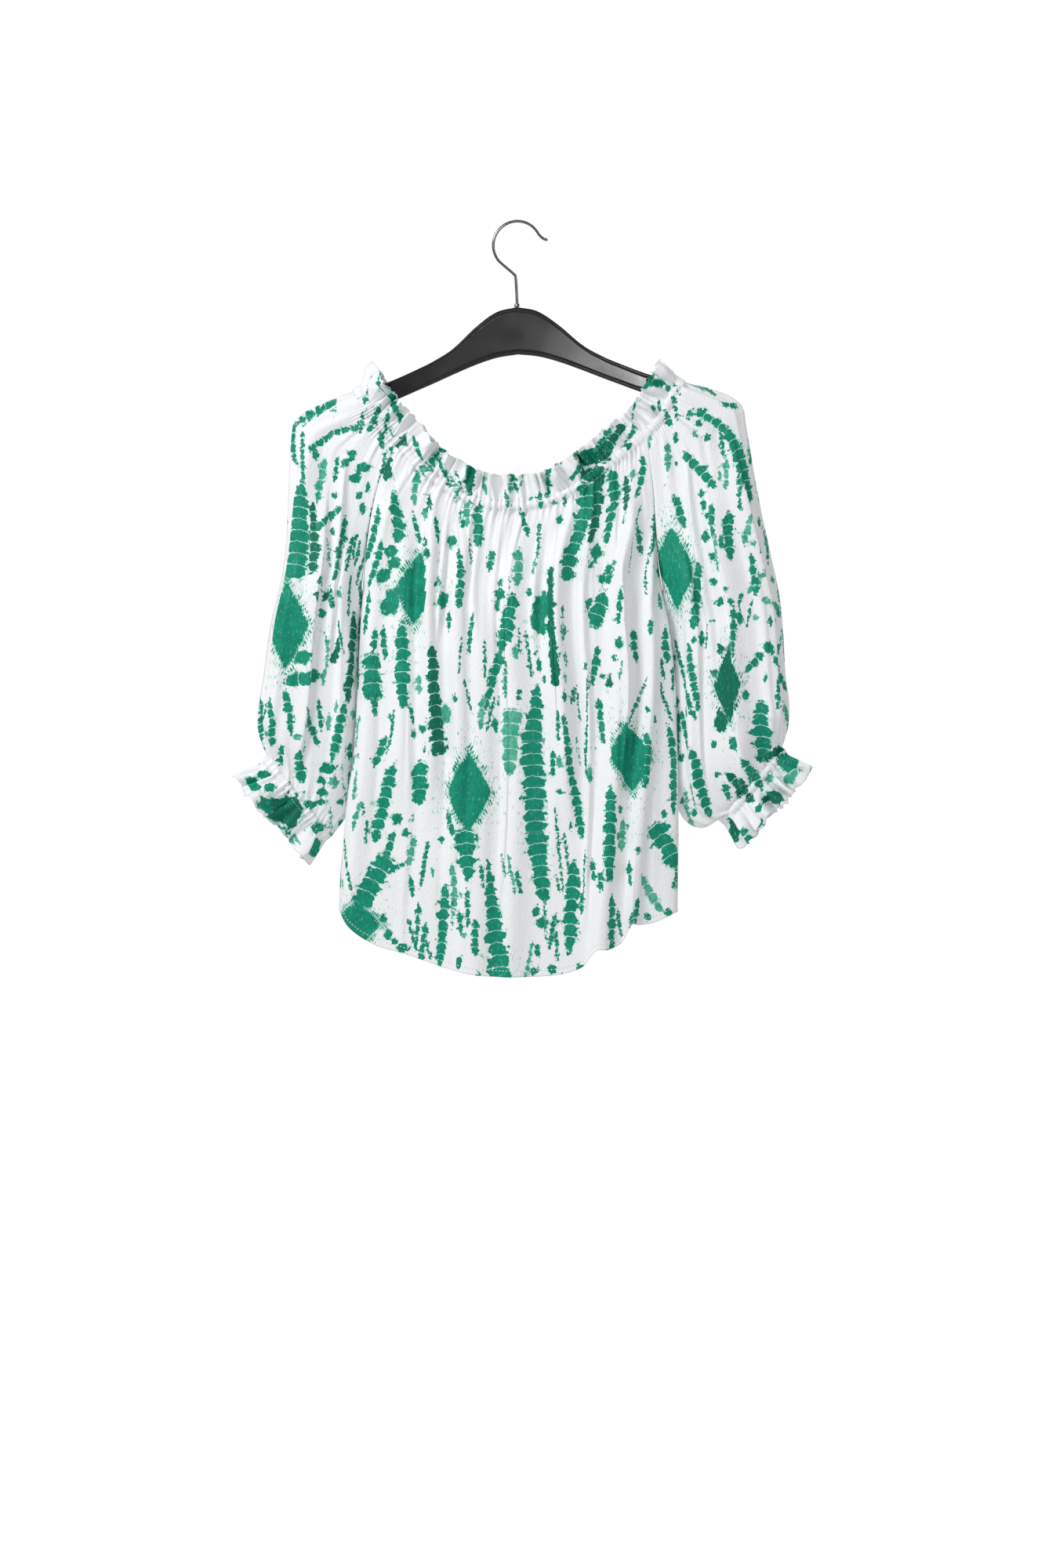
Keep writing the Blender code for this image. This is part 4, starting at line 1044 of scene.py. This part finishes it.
def make_cloth(name, form, columns, cloth):
    """A grid of cloth on its form, with a wall."""
    mesh, across, row_of = new_grid(name, columns, len(form.rows) - 1)
    flat = np.zeros((len(across), 3))
    points = np.zeros_like(flat)
    smooth = np.zeros_like(flat)
    for i, row in enumerate(form.rows):
        mine = row_of == i
        points[mine] = form.place(across[mine], row)
        smooth[mine] = form.place(across[mine], row, gathered=False)
    mesh.vertices.foreach_set("co", points.ravel())
    column_of = np.round(across * columns).astype(int)
    if isinstance(form, PanelForm):
        places = unrolled(smooth, row_of, column_of, columns // 2, 1)
        dye_panel(form, places, smooth).write(mesh)
    else:
        places = unrolled(smooth, row_of, column_of, columns * 3 // 4, -form.side)
        dye_sleeve(form, places, smooth, across).write(mesh)
    mesh.shade_smooth()
    mesh.update()
    made = new_piece(name, mesh)
    wall = made.modifiers.new("Wall", "SOLIDIFY")
    wall.thickness = cloth.wall
    wall.offset = 0
    return made


def make_stitching(name, form, cloth, rows):
    """Machine stitches along rows of a cloth, each a short thread sunk into it at both ends."""
    mesh = bpy.data.meshes.new(name)
    sewn = bmesh.new()
    across = np.linspace(0.012, 0.988, 1200)
    off = cloth.wall / 2 + STITCH_RISE
    pitch = cloth.stitch * STITCH_PITCH
    for row in rows:
        line = form.place(across, row) + form.stitch_side(across, row) * off
        lengths = np.concatenate([[0], np.cumsum(np.linalg.norm(np.diff(line, axis=0), axis=1))])
        for i in range(int(lengths[-1] / pitch)):
            ends = [Vector([np.interp(i * pitch + shift, lengths, line[:, k]) for k in range(3)])
                    for shift in (0, cloth.stitch)]
            way = ends[1] - ends[0]
            turn = way.to_track_quat("X", "Z").to_matrix().to_4x4()
            size = Matrix.Diagonal((way.length / 2, THREAD_RADIUS, THREAD_RADIUS, 1))
            bmesh.ops.create_icosphere(sewn, subdivisions=1, radius=1.0,
                                       matrix=Matrix.Translation((ends[0] + ends[1]) / 2) @ turn @ size)
    sewn.to_mesh(mesh)
    sewn.free()
    mesh.shade_smooth()
    return new_piece(name, mesh)


# A quarter of the hanger's cross-section in mm, from its top edge to the middle of its face, which
# is written as 100: how far down and how far forward. The face lies back behind a raised rim.
HANGER_SECTION = (
    (0.0, 0.0), (0.0, 2.2), (0.12, 3.5), (0.5, 4.3), (1.1, 4.8), (1.8, 5.0), (2.7, 5.0),
    (3.2, 4.9), (3.7, 4.55), (4.2, 4.15), (4.7, 4.02), (5.4, 4.0), (6.2, 4.0), (100, 4.0),
)


def make_hanger():
    """The moulded hanger: two sloping arms with a raised rim round each face."""
    top = Path([(out, -drop) for out, drop, _ in HANGER_SHAPE])
    bottom = Path([(out, -low) for out, _, low in HANGER_SHAPE])
    front = [(down, -forward, False) for down, forward in HANGER_SECTION]
    front += [(down, -forward, True) for down, forward in reversed(HANGER_SECTION[:-1])]
    section = front + [(down, -forward, low) for down, forward, low in reversed(front)][1:]
    mesh, across, row = new_grid("hanger_moulding", 160, len(section) - 1)
    side = np.where(across < 0.5, -1, 1)
    spread = np.abs(2 * across - 1)
    high, low = top.at(spread), bottom.at(spread)
    tall = np.linalg.norm(high - low, axis=-1)
    down, depth, from_low = np.array(section).T[:, row]
    down, depth = down * MM, depth * MM
    narrow = np.clip(tall / (12 * MM), 0, 1)
    share = np.minimum(0.5, down * narrow / np.maximum(tall, 0.1 * MM))
    share = np.where(down > 50 * MM, 0.5, share)
    share = np.where(from_low > 0, 1 - share, share)
    tip = 1 - ease(0.965, 1.0, spread)
    closed = np.where(spread > 0.9999, 0, 1)
    flat = mix(mix(high, low, 0.5), mix(high, low, column(share)), column(closed))
    depth = depth * mix(0.55, 1, tip) * closed
    place = np.column_stack([flat[:, 0] * side, depth, flat[:, 1], np.ones(len(flat))])
    turned = Matrix.Translation((0, 0, HANGER_TOP)) @ Matrix.Rotation(-HANGER_TILT, 4, "Y")
    mesh.vertices.foreach_set("co", (place @ np.array(turned).T)[:, :3].ravel())
    close_up(mesh)
    return new_piece("hanger_moulding", mesh)


def make_hook():
    """The bent wire with its lip, rounded off at both ends."""
    wide = HOOK_RADIUS / MM
    bend = [(0.8 + math.cos(turn) * wide, 1.4 - wide + math.sin(turn) * wide)
            for turn in np.radians(np.linspace(222, 27, 17))]
    wire = Path([*HOOK_SHANK, *bend, *HOOK_LIP])
    rows = 220
    mesh, across, row = new_grid("bent_wire", 20, rows)
    share = row / rows
    from_end = np.minimum(share, 1 - share) * wire.length
    radius = WIRE_RADIUS * np.sqrt(1 - (1 - np.clip(from_end / WIRE_END, 0, 1)) ** 2)
    way = wire.along(share)
    flat = wire.at(share)
    turn = 2 * np.pi * across
    out = np.stack([way[:, 1] * np.cos(turn), np.sin(turn), -way[:, 0] * np.cos(turn)], -1)
    line = np.column_stack([flat[:, 0], np.zeros(len(flat)), flat[:, 1]])
    mesh.vertices.foreach_set("co", (line + out * column(radius)).ravel())
    close_up(mesh)
    return new_piece("bent_wire", mesh)


def make_collar():
    """The turned collar where the wire enters the hanger."""
    mesh = bpy.data.meshes.new("wire_collar")
    turned = bmesh.new()
    line = [turned.verts.new((radius * MM, 0, up * MM)) for radius, up in COLLAR]
    edges = [turned.edges.new(pair) for pair in zip(line, line[1:] + line[:1])]
    bmesh.ops.spin(turned, geom=line + edges, axis=(0, 0, 1), cent=(0, 0, 0),
                   angle=2 * math.pi, steps=40, use_merge=True)
    bmesh.ops.recalc_face_normals(turned, faces=turned.faces)
    sharp = [e for e in turned.edges if len(e.link_faces) == 2 and e.calc_face_angle(0) > 0.5]
    bmesh.ops.bevel(turned, geom=sharp, offset=0.15 * MM, affect="EDGES", segments=2,
                    profile=0.5, material=-1)
    bmesh.ops.translate(turned, verts=turned.verts, vec=(0.4 * MM, 0, HANGER_TOP))
    turned.to_mesh(mesh)
    turned.free()
    mesh.shade_smooth()
    return new_piece("wire_collar", mesh)


def finish_piece(piece, material, slot, *nodes):
    piece.data.materials.append(material)
    if nodes:
        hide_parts(*nodes)
    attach(piece, BODY)


def add(tree, kind, inputs=None, output=0, **settings):
    """Adds a shader node with its settings, sets or links its inputs, and gives one output."""
    made = tree.nodes.new("ShaderNode" + kind)
    for key, value in settings.items():
        setattr(made, key, value)
    for key, value in (inputs or {}).items():
        if isinstance(value, bpy.types.NodeSocket):
            tree.links.new(value, made.inputs[key])
        else:
            made.inputs[key].default_value = value
    return made.outputs[output] if len(made.outputs) else made


def get_material(name, build, settings):
    """A material by its name. Its nodes are built when it is first asked for."""
    if name not in bpy.data.materials:
        made = bpy.data.materials.new(name)
        made.use_nodes = True
        made.node_tree.nodes.clear()
        build(made.node_tree, settings)
    return bpy.data.materials[name]


def satin(tree, settings):
    """Hammered polyester satin, tie-dyed: the dye is flat in the cloth, and its soft sheen is
    broken up by small dents, whose highlight and shade are also painted into the dye."""
    place = add(tree, "Attribute", output="Vector", attribute_name="cloth_place")
    near, step, square, tone, grain, teeth = (
        add(tree, "Attribute", output="Fac", attribute_name="dye_" + name) for name in DYE_LAYERS)

    # The dye creeps along the warp in hairs of about 1.5 x 5 mm, and round them in blots of 3 mm.
    warp = add(tree, "Mapping", {"Vector": place, "Scale": (1, 0.32, 1)})
    blots = add(tree, "TexNoise", {"Vector": place, "Scale": 330, "Detail": 3})
    hairs = add(tree, "TexNoise", {"Vector": warp, "Scale": 640, "Detail": 2, "Roughness": 0.6})
    cloud = add(tree, "TexNoise", {"Vector": place, "Scale": 70, "Detail": 2})
    lumps = add(tree, "TexNoise", {"Vector": place, "Scale": 120, "Detail": 1})
    ragged = add(tree, "Math", {0: blots, 1: 7.5, 2: -3.75}, operation="MULTIPLY_ADD")
    ragged = add(tree, "Math", {0: hairs, 1: 5.0, 2: ragged}, operation="MULTIPLY_ADD")
    ragged = add(tree, "Math", {0: ragged, 1: 2.5}, operation="SUBTRACT")
    swell = add(tree, "Math", {0: lumps, 1: 1.7, 2: 0.20}, operation="MULTIPLY_ADD")
    reach = add(tree, "Math", {0: near, 1: swell}, operation="MULTIPLY")
    reach = add(tree, "Math", {0: ragged, 1: grain, 2: reach}, operation="MULTIPLY_ADD")
    reach = add(tree, "Math", {0: reach, 1: 0.0}, operation="MAXIMUM")

    # Blocks across a motif, with bowed bare lines of 1 to 2 mm between them.
    bow = add(tree, "Math", {0: reach, 1: reach}, operation="MULTIPLY")
    bow = add(tree, "Math", {0: bow, 1: -0.16, 2: step}, operation="MULTIPLY_ADD")
    bow = add(tree, "Math", {0: blots, 1: 0.30, 2: bow}, operation="MULTIPLY_ADD")
    bow = add(tree, "Math", {0: hairs, 1: 0.26, 2: bow}, operation="MULTIPLY_ADD")
    bow = add(tree, "Math", {0: bow, 1: 0.28}, operation="SUBTRACT")
    saw = add(tree, "Math", {0: bow}, operation="FRACT")
    saw = add(tree, "Math", {0: saw, 1: 2.0, 2: -1.0}, operation="MULTIPLY_ADD")
    saw = add(tree, "Math", {0: saw}, operation="ABSOLUTE")
    power = add(tree, "Math", {0: square, 1: 2.9, 2: 2.1}, operation="MULTIPLY_ADD")
    edge = add(tree, "Math", {0: reach, 1: power}, operation="POWER")
    wide = add(tree, "Math", {0: saw, 1: 1.05}, operation="MULTIPLY")
    ends = add(tree, "Math", {0: wide, 1: power}, operation="POWER")
    block = add(tree, "Math", {0: edge, 1: ends}, operation="ADD")

    # A diamond has a toothed edge with a small bare eye in each tooth.
    tooth = add(tree, "Math", {0: step}, operation="FRACT")
    tooth = add(tree, "Math", {0: tooth, 1: 2.0, 2: -1.0}, operation="MULTIPLY_ADD")
    tooth = add(tree, "Math", {0: tooth}, operation="ABSOLUTE")
    rim = add(tree, "Mix", {"Factor": 0.42, "A": near, "B": reach})
    rim = add(tree, "Math", {0: tooth, 1: 0.24, 2: rim}, operation="MULTIPLY_ADD")
    rim = add(tree, "Math", {0: rim, 1: 8.0, 2: -7.2}, operation="MULTIPLY_ADD")
    rim = add(tree, "Math", {0: rim, 1: 0.0}, operation="MAXIMUM")
    far = add(tree, "Math", {0: near, 1: 20.0, 2: -17.0}, operation="MULTIPLY_ADD")
    far = add(tree, "Math", {0: far, 1: far}, operation="MULTIPLY")
    wide = add(tree, "Math", {0: tooth, 1: 2.1}, operation="MULTIPLY")
    wide = add(tree, "Math", {0: wide, 1: wide}, operation="MULTIPLY")
    eye = add(tree, "Math", {0: far, 1: wide}, operation="ADD")
    eye = add(tree, "MapRange", {"Value": eye, "From Min": 1.5, "From Max": 0.8})
    eye = add(tree, "Math", {0: eye, 1: teeth}, operation="MULTIPLY")
    motif = add(tree, "Mix", {"Factor": teeth, "A": block, "B": rim})

    # Full dye inside a motif, broken by dry hairs, and thin dye and specks round it.
    ink = add(tree, "MapRange", {"Value": motif, "From Min": 1.14, "From Max": 0.88},
              interpolation_type="SMOOTHSTEP")
    dry = add(tree, "MapRange", {"Value": hairs, "From Min": 0.60, "From Max": 0.70, "To Min": 1.0,
                                 "To Max": 0.45}, interpolation_type="SMOOTHSTEP")
    ink = add(tree, "Math", {0: ink, 1: dry}, operation="MULTIPLY")
    bare = add(tree, "Math", {0: 1.0, 1: eye}, operation="SUBTRACT")
    ink = add(tree, "Math", {0: ink, 1: bare}, operation="MULTIPLY")
    halo = add(tree, "MapRange", {"Value": motif, "From Min": 2.2, "From Max": 1.0})
    thin = add(tree, "MapRange", {"Value": cloud, "From Min": 0.38, "From Max": 0.66, "To Max": 0.5})
    halo = add(tree, "Math", {0: halo, 1: thin}, operation="MULTIPLY")
    speck = add(tree, "MapRange", {"Value": hairs, "From Min": 0.60, "From Max": 0.645})
    close = add(tree, "MapRange", {"Value": reach, "From Min": 1.75, "From Max": 1.2, "To Max": 0.85})
    speck = add(tree, "Math", {0: speck, 1: close}, operation="MULTIPLY")
    round_it = add(tree, "Math", {0: halo, 1: speck}, operation="MAXIMUM")
    strength = add(tree, "Math", {0: tone, 1: 0.22, 2: 0.34}, operation="MULTIPLY_ADD")
    strength = add(tree, "Math", {0: cloud, 1: 0.38, 2: strength}, operation="MULTIPLY_ADD")

    # Dents in slanting rows, drawn at about 2 mm so that they still show at this distance.
    slant = add(tree, "Mapping", {"Vector": place, "Rotation": (0, 0, math.radians(32)),
                                  "Scale": (1.0, 0.6, 1.0)})
    dents_and_their_shade = add(tree, "TexVoronoi", {"Vector": slant, "Scale": 1 / settings.hammer, "Smoothness": 0.6,
                                     "Randomness": 0.8}, output="Distance", feature="SMOOTH_F1")
    # The dents also thin the dye in their middles and deepen it at their rims: painted highlight and
    # shade on each dent.
    strength = add(tree, "Math", {0: dents_and_their_shade, 1: 0.20, 2: strength}, operation="MULTIPLY_ADD")
    strength = add(tree, "Math", {0: strength, 1: 0.07}, operation="SUBTRACT")
    full = add(tree, "Math", {0: strength, 1: ink}, operation="MULTIPLY")
    round_it = add(tree, "Math", {0: round_it, 1: 0.62}, operation="MULTIPLY")
    density = add(tree, "Math", {0: full, 1: round_it}, operation="MAXIMUM")
    dyed = add(tree, "ValToRGB", {"Fac": density})
    stops = ((0.0, settings.cloth), (0.30, settings.bleed), (0.66, settings.dye), (1.0, settings.deep))
    ramp = dyed.node.color_ramp
    while len(ramp.elements) < len(stops):
        ramp.elements.new(0.5)
    for element, (at, tint) in zip(ramp.elements, stops):
        element.position = at
        element.color = (*tint, 1)

    weave = add(tree, "Bump", {"Height": dents_and_their_shade, "Strength": 0.8, "Distance": 0.42 * MM})
    shader = add(tree, "BsdfPrincipled", {"Base Color": dyed, "Roughness": 0.52, "IOR": 1.5,
                                          "Specular IOR Level": 0.22, "Sheen Weight": 0.03,
                                          "Sheen Roughness": 0.4, "Normal": weave})
    add(tree, "OutputMaterial", {"Surface": shader})


def sewing_thread(tree, settings):
    """Spun polyester thread: matt, with a faint twist along each stitch and painted shade in the grooves
    between its plies.
    """
    place = add(tree, "TexCoord", output="Object")
    # The plies are about 0.2 mm; they are drawn at 0.6 mm so that they show at all.
    plies_and_groove_shade = add(tree, "TexWave", {"Vector": place, "Scale": 1 / (0.6 * MM) / 20, "Distortion": 1.5},
                output="Fac", bands_direction="DIAGONAL")
    # Greyer where the plies dip into their grooves: painted shade.
    tint = add(tree, "Mix", {"Factor": plies_and_groove_shade, "A": (*linear("#DDE1E2"), 1),
                             "B": (*settings.thread, 1)}, output="Result", data_type="RGBA")
    twist = add(tree, "Bump", {"Height": plies_and_groove_shade, "Strength": 0.4, "Distance": 0.1 * MM})
    shader = add(tree, "BsdfPrincipled", {"Base Color": tint, "Roughness": 0.75,
                                          "Specular IOR Level": 0.3, "Normal": twist})
    add(tree, "OutputMaterial", {"Surface": shader})


def moulded_plastic(tree, settings):
    """Black moulded polystyrene: a satin gloss of uneven roughness, with faintly lighter patches of
    painted reflection.
    """
    place = add(tree, "TexCoord", output="Object")
    # Flow lines some 45 mm wide, which vary the gloss and also place the lighter patches of painted
    # reflection, and the mould's spark-eroded grain, 0.3 mm drawn at 0.9 mm.
    flow_and_reflection = add(tree, "TexNoise", {"Vector": place, "Scale": 22, "Detail": 2})
    grain = add(tree, "TexNoise", {"Vector": place, "Scale": 1 / (0.9 * MM), "Detail": 2})
    patch_mask = add(tree, "MapRange", {"Value": flow_and_reflection, "From Min": 0.36, "From Max": 0.64})
    # Mixes the lighter colour into the black in random patches: painted reflection.
    tint = add(tree, "Mix", {"Factor": patch_mask, "A": (*settings.plastic, 1), "B": (*settings.painted_reflection, 1)},
               output="Result", data_type="RGBA")
    gloss = add(tree, "MapRange", {"Value": flow_and_reflection, "From Min": 0.3, "From Max": 0.7, "To Min": 0.15,
                                   "To Max": 0.24})
    fine = add(tree, "Bump", {"Height": grain, "Strength": 0.05, "Distance": 0.1 * MM})
    shader = add(tree, "BsdfPrincipled", {"Base Color": tint, "Roughness": gloss, "IOR": 1.5,
                                          "Normal": fine})
    add(tree, "OutputMaterial", {"Surface": shader})


def chromed_wire(tree, settings):
    """Bright chrome plating on drawn steel wire, with fine draw lines that soften its reflections."""
    place = add(tree, "TexCoord", output="Object")
    # Rubbed patches about 8 mm long, and draw lines of 0.1 mm that are drawn at 0.5 mm.
    patch_mask = add(tree, "TexNoise", {"Vector": place, "Scale": 125, "Detail": 2})
    drawn = add(tree, "TexNoise", {"Vector": place, "Scale": 1 / (0.5 * MM), "Detail": 1})
    gloss = add(tree, "MapRange", {"Value": patch_mask, "From Min": 0.3, "From Max": 0.7, "To Min": 0.12,
                                   "To Max": 0.20})
    lines = add(tree, "Bump", {"Height": drawn, "Strength": 0.03, "Distance": 0.03 * MM})
    shader = add(tree, "BsdfPrincipled", {"Base Color": (*settings.wire, 1), "Metallic": 1.0,
                                          "Roughness": gloss, "Normal": lines})
    add(tree, "OutputMaterial", {"Surface": shader})


def studio_paint(tree, settings):
    """Matt white paint: the floor throws soft light up and shows no gloss."""
    shader = add(tree, "BsdfPrincipled", {"Base Color": (*settings.backdrop, 1), "Roughness": 0.9})
    add(tree, "OutputMaterial", {"Surface": shader})


LAMPS = (
    # name, place, size, watts
    ("key", (-1.9, -1.9, 1.1), 1.0, 53),
    ("fill", (1.8, -2.4, -0.2), 1.6, 7),
    ("glint", (0.165, -1.5, -0.088), 0.09, 1.6),  # shines on the hanger's left arm
    ("behind", (1.3, 2.3, 1.0), 1.4, 44),
)
LAMPS_AIM = Vector((0, 0, -0.4))


def add_cloth(context, name, node, form, stitch_rows):
    """One cut cloth with its stitching."""
    cloth = context.scene.blouse_cloth
    dye = context.scene.blouse_print
    piece = make_cloth(name + "_cloth", form, CLOTH_COLUMNS, cloth)
    finish_piece(piece, get_material("Tie-dyed hammered satin", satin, dye), "satin", node)
    sewn = make_stitching(name + "_stitching", form, cloth, stitch_rows)
    finish_piece(sewn, get_material("Spun polyester thread", sewing_thread, dye), "satin")


def add_panel(context, name, front):
    form = PanelForm(front, context.scene.blouse_cloth)
    add_cloth(context, name, name + "_panel", form, NECK_STITCHES + form.hem_stitches())


class BLOUSE_OT_front(bpy.types.Operator):
    """Makes the front panel with its share of the neckline's frill"""

    bl_idname = "blouse.front"
    bl_label = "Front panel"

    def execute(self, context):
        add_panel(context, "front", True)
        return {"FINISHED"}


class BLOUSE_OT_back(bpy.types.Operator):
    """Makes the back panel with its share of the neckline's frill"""

    bl_idname = "blouse.back"
    bl_label = "Back panel"

    def execute(self, context):
        add_panel(context, "back", False)
        return {"FINISHED"}


class BLOUSE_OT_sleeves(bpy.types.Operator):
    """Makes both raglan sleeves with their cuffs"""

    bl_idname = "blouse.sleeves"
    bl_label = "Sleeves"

    def execute(self, context):
        for name, wearer_right in (("right_sleeve", True), ("left_sleeve", False)):
            form = SleeveForm(wearer_right, context.scene.blouse_cloth)
            add_cloth(context, name, name, form, NECK_STITCHES + CUFF_STITCHES)
        return {"FINISHED"}


class BLOUSE_OT_hanger(bpy.types.Operator):
    """Makes the moulded hanger with its wire hook and collar"""

    bl_idname = "blouse.hanger"
    bl_label = "Hanger"

    def execute(self, context):
        settings = context.scene.blouse_hanger
        plastic = get_material("Black moulded polystyrene", moulded_plastic, settings)
        wire = get_material("Chromed drawn wire", chromed_wire, settings)
        finish_piece(make_hanger(), plastic, "hanger_plastic", "hanger_body")
        finish_piece(make_hook(), wire, "wire", "hanger_hook")
        finish_piece(make_collar(), wire, "wire", "hook_collar")
        return {"FINISHED"}


class BLOUSE_OT_stage(bpy.types.Operator):
    """Sets up the floor, the lights and the camera"""

    bl_idname = "blouse.stage"
    bl_label = "Studio"

    def execute(self, context):
        stage = context.scene.blouse_stage
        mesh = bpy.data.meshes.new("floor")
        sheet = bmesh.new()
        bmesh.ops.create_grid(sheet, x_segments=1, y_segments=1, size=2.2,
                              matrix=Matrix.Translation((0, 0, -stage.floor)))
        sheet.to_mesh(mesh)
        sheet.free()
        mesh.materials.append(get_material("Matt studio paint", studio_paint, stage))
        floor = new_piece("floor", mesh)

        world = bpy.data.worlds.new("Studio")
        context.scene.world = world
        world.use_nodes = True
        world.node_tree.nodes.clear()
        # The surroundings light softly, and show as the bright studio behind the blouse.
        seen = add(world.node_tree, "LightPath", output="Is Camera Ray")
        strength = add(world.node_tree, "MapRange", {"Value": seen, "To Min": 0.44, "To Max": 1.02})
        sky = add(world.node_tree, "Background", {"Color": (*stage.backdrop, 1), "Strength": strength})
        add(world.node_tree, "OutputWorld", {"Surface": sky})
        context.scene.view_settings.view_transform = "Standard"
        for name, place, size, watts in LAMPS:
            light = bpy.data.lights.new(name, "AREA")
            light.energy = watts
            light.size = size
            lamp = bpy.data.objects.new(name, light)
            lamp.location = place
            lamp.visible_camera = False
            lamp.rotation_euler = (LAMPS_AIM - Vector(place)).to_track_quat("-Z", "Y").to_euler()
            context.scene.collection.objects.link(lamp)

        # The photo's frame, with the hook's inner top at its pixel.
        pixel = MM / stage.pixels_a_mm
        tall = PHOTO_PIXELS[1] * pixel
        camera = bpy.data.cameras.new("camera")
        camera.sensor_width = 36
        camera.lens = camera.sensor_width * stage.distance / tall
        camera.shift_y = (stage.height - (PHOTO_PIXELS[1] / 2 - HOOK_PIXEL[1]) * pixel) / tall
        eye = bpy.data.objects.new("camera", camera)
        eye.location = ((PHOTO_PIXELS[0] / 2 - HOOK_PIXEL[0]) * pixel, -stage.distance, -stage.height)
        eye.rotation_euler = (math.radians(90), 0, 0)
        context.scene.collection.objects.link(eye)
        context.scene.camera = eye
        return {"FINISHED"}


class BLOUSE_PT_panel(bpy.types.Panel):
    """Lists the blouse's settings and steps"""

    bl_idname = "BLOUSE_PT_panel"
    bl_label = "Blouse"
    bl_space_type = "VIEW_3D"
    bl_region_type = "UI"
    bl_category = "Blouse"

    def draw(self, context):
        for name, group in GROUPS.items():
            box = self.layout.box()
            for key in group.__annotations__:
                box.prop(getattr(context.scene, name), key)
        for step in STEPS:
            self.layout.operator(step.bl_idname)


GROUPS = {"blouse_cloth": BlouseCloth, "blouse_print": BlousePrint,
          "blouse_hanger": BlouseHanger, "blouse_stage": BlouseStage}
STEPS = (BLOUSE_OT_hanger, BLOUSE_OT_front, BLOUSE_OT_back, BLOUSE_OT_sleeves, BLOUSE_OT_stage)
CLASSES = (*GROUPS.values(), *STEPS, BLOUSE_PT_panel)


def register():
    for one in CLASSES:
        bpy.utils.register_class(one)
    for name, group in GROUPS.items():
        setattr(bpy.types.Scene, name, bpy.props.PointerProperty(type=group))


def unregister():
    for name in GROUPS:
        delattr(bpy.types.Scene, name)
    for one in reversed(CLASSES):
        bpy.utils.unregister_class(one)


def main():
    register()
    bpy.ops.blouse.hanger()
    bpy.ops.blouse.front()
    bpy.ops.blouse.back()
    bpy.ops.blouse.sleeves()
    bpy.ops.blouse.stage()


if __name__ == "__main__":
    main()
